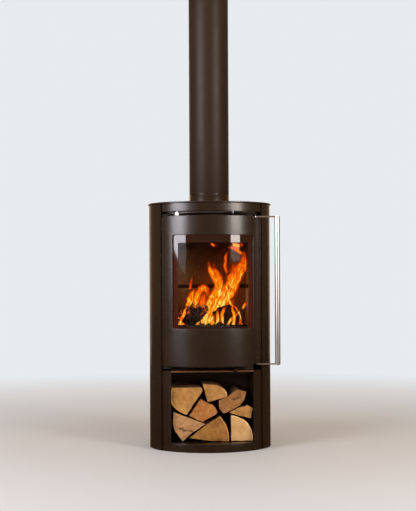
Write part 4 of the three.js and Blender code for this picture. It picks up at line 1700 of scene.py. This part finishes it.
@dataclass
class Fire:
    """The burning logs, the ember bed and the flames."""

    lumps: int = 90
    bed_low: float = 0.450
    bed_half_width: float = 0.124
    bed_depth: tuple[float, float] = (-0.070, 0.074)
    ember_glow: float = 3.2
    seed: int = 11

    def tongues(self) -> list[Tongue]:
        """Returns the flames, paths in millimetres."""
        return [
            Tongue(((-26, 458), (-10, 520), (10, 562), (28, 606), (34, 650), (22, 690), (12, 730)),
                   46, -0.004, 0.95, 5),
            Tongue(((34, 600), (24, 645), (4, 686), (-4, 726)), 32, 0.004, 0.85, 2),
            Tongue(((0, 460), (26, 520), (56, 572), (84, 622), (98, 664), (94, 696), (88, 724)),
                   70, 0.012, 0.95, 8),
            Tongue(((70, 590), (96, 640), (116, 680), (124, 712), (116, 740)), 62, 0.034, 0.55, 2),
            Tongue(((62, 560), (98, 640), (122, 684), (138, 712), (140, 742), (122, 766)),
                   52, 0.022, 0.75, 4),
            Tongue(((132, 744), (112, 762), (84, 772), (66, 772)), 16, 0.024, 0.6, 1),
            Tongue(((70, 668), (62, 704), (66, 738), (82, 764)), 16, 0.03, 0.5, 1),
            Tongue(((90, 788), (110, 778), (126, 784), (134, 792)), 22, 0.018, 0.8),
            Tongue(((4, 788), (20, 780), (34, 782)), 12, 0.02, 0.5),
            Tongue(((-92, 540), (-80, 568), (-70, 596), (-54, 616)), 28, -0.02, 0.8, 2),
            Tongue(((-56, 540), (-50, 584), (-26, 614), (-6, 596), (-4, 552)), 34, -0.01, 0.6, 4),
            Tongue(((-30, 540), (-24, 570), (-14, 600)), 30, -0.004, 0.5, 2),
            Tongue(((-128, 458), (-116, 492), (-98, 526), (-82, 556)), 17, -0.05, 1.2, 2),
            Tongue(((-126, 456), (-110, 476), (-92, 470)), 16, -0.056, 1.1, 1),
            Tongue(((56, 458), (76, 486), (98, 508), (110, 522)), 12, -0.052, 1.4, 1),
            Tongue(((106, 524), (113, 494), (110, 458)), 10, -0.05, 1.2, 1),
            Tongue(((68, 574), (80, 550), (98, 536), (108, 510)), 10, -0.046, 1.1, 1),
            Tongue(((-30, 456), (-14, 498), (0, 534), (14, 562)), 15, -0.05, 1.2, 2),
            Tongue(((20, 456), (28, 500), (24, 548)), 16, -0.044, 1.1, 2),
            Tongue(((46, 456), (44, 506), (58, 552)), 16, -0.04, 1.1, 2),
            Tongue(((84, 456), (94, 500), (86, 540), (98, 582)), 18, -0.034, 0.9, 2),
            Tongue(((126, 532), (136, 548), (146, 562)), 13, -0.01, 0.9),
            Tongue(((-78, 606), (-72, 636), (-66, 664)), 14, 0.0, 0.4),
            Tongue(((-66, 456), (-52, 482), (-36, 502)), 14, -0.06, 1.1, 1),
            Tongue(((2, 456), (6, 478), (12, 502)), 14, -0.058, 1.1, 1),
        ]

    def build(self) -> None:
        """Builds the logs, the embers and the flames."""
        for log in self.burning_logs():
            finish_piece(log.mesh(), log.name, Body.CASING, Slot.CHAR,
                         (Charred(), Charred(), Charred()))
        finish_piece(self.embers(), "ember_bed", Body.CASING, Slot.CHAR,
                     (Charred("embers", self.ember_glow),))
        draw = random.Random(self.seed + 1)
        tongues = self.tongues()
        tongues += [tongue.strand(draw) for tongue in tongues for _ in range(tongue.strands)]
        for number, tongue in enumerate(tongues, 1):
            finish_piece(tongue.mesh(), f"flame_{number:02d}", Body.CASING, Slot.FLAME,
                         (FlameGas(f"flame_{round(tongue.heat * 100)}", tongue.heat),))

    def burning_logs(self) -> list[SplitLog]:
        """Returns the logs on the fire, corners in millimetres."""
        char = Charred()
        return [
            SplitLog("burning_log_left", ((-97, 529), (-91, 546), (-12, 549), (-6, 536), (-29, 496),
                                          (-62, 470), (-94, 466)), (), 0, -0.070, 0.04, char,
                     0.004, 21),
            SplitLog("burning_log_right", ((6, 520), (40, 545), (92, 540), (112, 505), (100, 466),
                                           (20, 464)), (1,), 5, -0.028, 0.07, char, 0.005, 22),
            SplitLog("burning_log_rear", ((-130, 470), (-120, 520), (-60, 530), (-20, 500),
                                          (-24, 468)), (1,), 6, 0.045, 0.078, char, 0.004, 23),
        ]

    def embers(self) -> bmesh.types.BMesh:
        """Returns the bed of glowing lumps on the grate."""
        draw = random.Random(self.seed)
        lumps = []
        for _ in range(self.lumps):
            lump = bmesh.new()
            bmesh.ops.create_icosphere(lump, subdivisions=2, radius=draw.uniform(0.007, 0.013))
            size = [draw.uniform(0.7, 1.4) for _ in range(3)]
            bmesh.ops.scale(lump, vec=size, verts=lump.verts)
            shift = Vector((draw.random(), draw.random(), draw.random())) * 9
            for vert in lump.verts:
                vert.co *= 1.0 + 0.35 * noise.noise(vert.co * 120 + shift)
            spot = (draw.uniform(-self.bed_half_width, self.bed_half_width),
                    draw.uniform(*self.bed_depth),
                    self.bed_low + draw.uniform(0.008, 0.018))
            bmesh.ops.translate(lump, vec=spot, verts=lump.verts)
            lumps.append(lump)
        return merged(*lumps)


# ---- Studio --------------------------------------------------------------------------------------


@dataclass(frozen=True)
class Softbox:
    """One soft area light.

    Attributes:
        name: Its name.
        place: Where it stands.
        target: What it faces.
        size: Its width and height.
        radiance: How bright its surface is.
        colour: Its colour.
        roll: Its turn about its own aim, in degrees.
    """

    name: str
    place: tuple[float, float, float]
    target: tuple[float, float, float]
    size: tuple[float, float]
    radiance: float
    colour: Colour
    roll: float = 0.0

    def build(self) -> None:
        """Adds the light, aimed and hidden from the camera."""
        lamp = bpy.data.lights.new(self.name, "AREA")
        lamp.shape = "RECTANGLE"
        lamp.size, lamp.size_y = self.size
        lamp.energy = self.radiance * math.pi * self.size[0] * self.size[1]
        lamp.color = self.colour
        holder = bpy.data.objects.new(self.name, lamp)
        holder.location = self.place
        aim = Vector(self.target) - Vector(self.place)
        roll = Quaternion((0.0, 0.0, 1.0), math.radians(self.roll))
        holder.rotation_euler = (aim.to_track_quat("-Z", "Y") @ roll).to_euler()
        holder.visible_camera = False
        bpy.context.scene.collection.objects.link(holder)


@dataclass
class Studio:
    """The pale floor, the soft light and the camera."""

    backdrop: Colour = (0.80, 0.83, 0.86)
    fill: Colour = (0.24, 0.195, 0.16)
    mirror_room: Colour = (0.215, 0.120, 0.064)
    mirror_floor: Colour = (0.07, 0.035, 0.016)
    floor_radius: float = 14.0
    floor_fade: tuple[float, float] = (0.7, 3.2)
    floor_tone: Colour = (0.74, 0.74, 0.74)
    camera_height: float = 0.641
    camera_distance: float = 4.0
    camera_azimuth: float = -3.5
    camera_roll: float = -0.28
    lens: float = 72.2
    shift: tuple[float, float] = (-0.0034, 0.0499)

    def build(self) -> None:
        """Builds the stage."""
        self.world()
        self.floor()
        self.lights()
        self.camera()

    def world(self) -> None:
        """Sets a pale backdrop, with a dimmer room for fill light and reflections."""
        world = bpy.data.worlds.new("studio")
        world.use_nodes = True
        tree = world.node_tree
        tree.nodes.clear()
        rays = tree.nodes.new("ShaderNodeLightPath").outputs
        output = tree.nodes.new("ShaderNodeOutputWorld")
        shades = []
        for colour in (self.fill, self.mirror_room, self.backdrop):
            shade = tree.nodes.new("ShaderNodeBackground")
            shade.inputs["Color"].default_value = (*colour, 1.0)
            shades.append(shade.outputs[0])
        result = shades[0]
        for ray, shade in (("Is Glossy Ray", shades[1]), ("Is Camera Ray", shades[2])):
            mixer = tree.nodes.new("ShaderNodeMixShader")
            tree.links.new(rays[ray], mixer.inputs[0])
            tree.links.new(result, mixer.inputs[1])
            tree.links.new(shade, mixer.inputs[2])
            result = mixer.outputs[0]
        tree.links.new(result, output.inputs["Surface"])
        bpy.context.scene.world = world
        bpy.context.scene.view_settings.view_transform = "Standard"

    def floor(self) -> None:
        """Adds a round pale floor that fades into the backdrop."""
        bm = bmesh.new()
        bmesh.ops.create_circle(bm, cap_ends=True, segments=96, radius=self.floor_radius)
        mesh = bpy.data.meshes.new("studio_floor")
        bm.to_mesh(mesh)
        bm.free()
        shader = Shader("studio_floor")
        across, deep, _ = shader.parts(shader.place)
        square = shader.math("ADD", shader.math("MULTIPLY", across, across),
                             shader.math("MULTIPLY", deep, deep))
        far = shader.span(shader.math("SQRT", square), *self.floor_fade)
        shader.set(Base_Color=self.floor_tone, Roughness=0.7, Specular_IOR_Level=0.2)
        glow = shader.node("ShaderNodeEmission", {"Color": self.backdrop})
        mixer = shader.node("ShaderNodeMixShader", {0: far, 1: shader.surface.outputs[0],
                                                    2: glow.outputs[0]})
        seen_in_gloss = shader.node("ShaderNodeEmission", {"Color": self.mirror_floor})
        rays = shader.node("ShaderNodeLightPath").outputs
        final = shader.node("ShaderNodeMixShader", {0: rays["Is Glossy Ray"], 1: mixer.outputs[0],
                                                    2: seen_in_gloss.outputs[0]})
        output = shader.tree.nodes["Material Output"]
        shader.tree.links.new(final.outputs[0], output.inputs["Surface"])
        mesh.materials.append(shader.material)
        floor = bpy.data.objects.new("studio_floor", mesh)
        bpy.context.scene.collection.objects.link(floor)

    def lights(self) -> None:
        """Adds two tall windows in front, a broad top light, a back light and the fire's light."""
        middle = (0.0, 0.0, 0.75)
        for light in (
            Softbox("window_left", (-2.565, -2.075, 1.34), (0.0, 0.0, 1.34), (1.5, 1.12), 14.0,
                    (0.93, 0.92, 1.0), -8.0),
            Softbox("window_right", (2.05, -2.44, 1.34), (0.0, 0.0, 1.34), (0.9, 1.12), 16.0,
                    (1.0, 0.91, 0.84)),
            Softbox("top", (0.0, -0.6, 3.6), (0.0, 0.0, 0.0), (3.6, 3.6), 0.9, (1.0, 0.97, 0.93)),
            Softbox("back", (0.0, 3.4, 1.3), middle, (5.0, 2.6), 0.8, (1.0, 0.74, 0.52)),
        ):
            light.build()
        self.fire_glow()

    def fire_glow(self) -> None:
        """Adds the light that the flames cast on the lining."""
        for name, place, power, size in (("fire_light", (0.045, 0.0, 0.60), 0.28, 0.05),
                                         ("fire_light_low", (-0.03, -0.02, 0.51), 0.16, 0.03)):
            lamp = bpy.data.lights.new(name, "POINT")
            lamp.energy = power
            lamp.shadow_soft_size = size
            lamp.color = (1.0, 0.30, 0.06)
            holder = bpy.data.objects.new(name, lamp)
            holder.location = place
            holder.visible_camera = False
            holder.visible_glossy = False
            holder.visible_transmission = False
            bpy.context.scene.collection.objects.link(holder)

    def camera(self) -> None:
        """Adds the level camera, a little left of the middle, with its slight roll."""
        data = bpy.data.cameras.new("camera")
        data.lens = self.lens
        data.sensor_width = 36.0
        data.shift_x, data.shift_y = self.shift
        camera = bpy.data.objects.new("camera", data)
        turn = math.radians(self.camera_azimuth)
        spin = Matrix.Rotation(turn, 4, "Z") @ Matrix.Rotation(math.pi / 2, 4, "X")
        place = Vector((math.sin(turn) * self.camera_distance,
                        -math.cos(turn) * self.camera_distance, self.camera_height))
        camera.matrix_world = (Matrix.Translation(place) @ spin
                               @ Matrix.Rotation(math.radians(self.camera_roll), 4, "Z"))
        bpy.context.scene.collection.objects.link(camera)
        bpy.context.scene.camera = camera


def dress_rest() -> None:
    """Gives any CAD node still showing its slot's finish."""
    for name, node in sorted(frame["nodes"].items()):
        if node.hide_render:
            continue
        material = material_of(FINISH_OF_SLOT[Slot(SLOT_OF_NODE[name])])
        node.data.materials.clear()
        node.data.materials.append(material)
        LOG.info("%s keeps its CAD shape", name)


def main() -> None:
    """Builds the stove from the casing inwards, then the stage."""
    logging.basicConfig(level=logging.INFO, format="%(name)s: %(message)s")
    for assembly in (Casing(), Flue(), Door(), Handle(), AirControls(), Firebox(), LogStore(),
                     Fire(), Studio()):
        assembly.build()
        LOG.info("finished the %s", type(assembly).__name__)
    dress_rest()


if __name__ == "__main__":
    main()
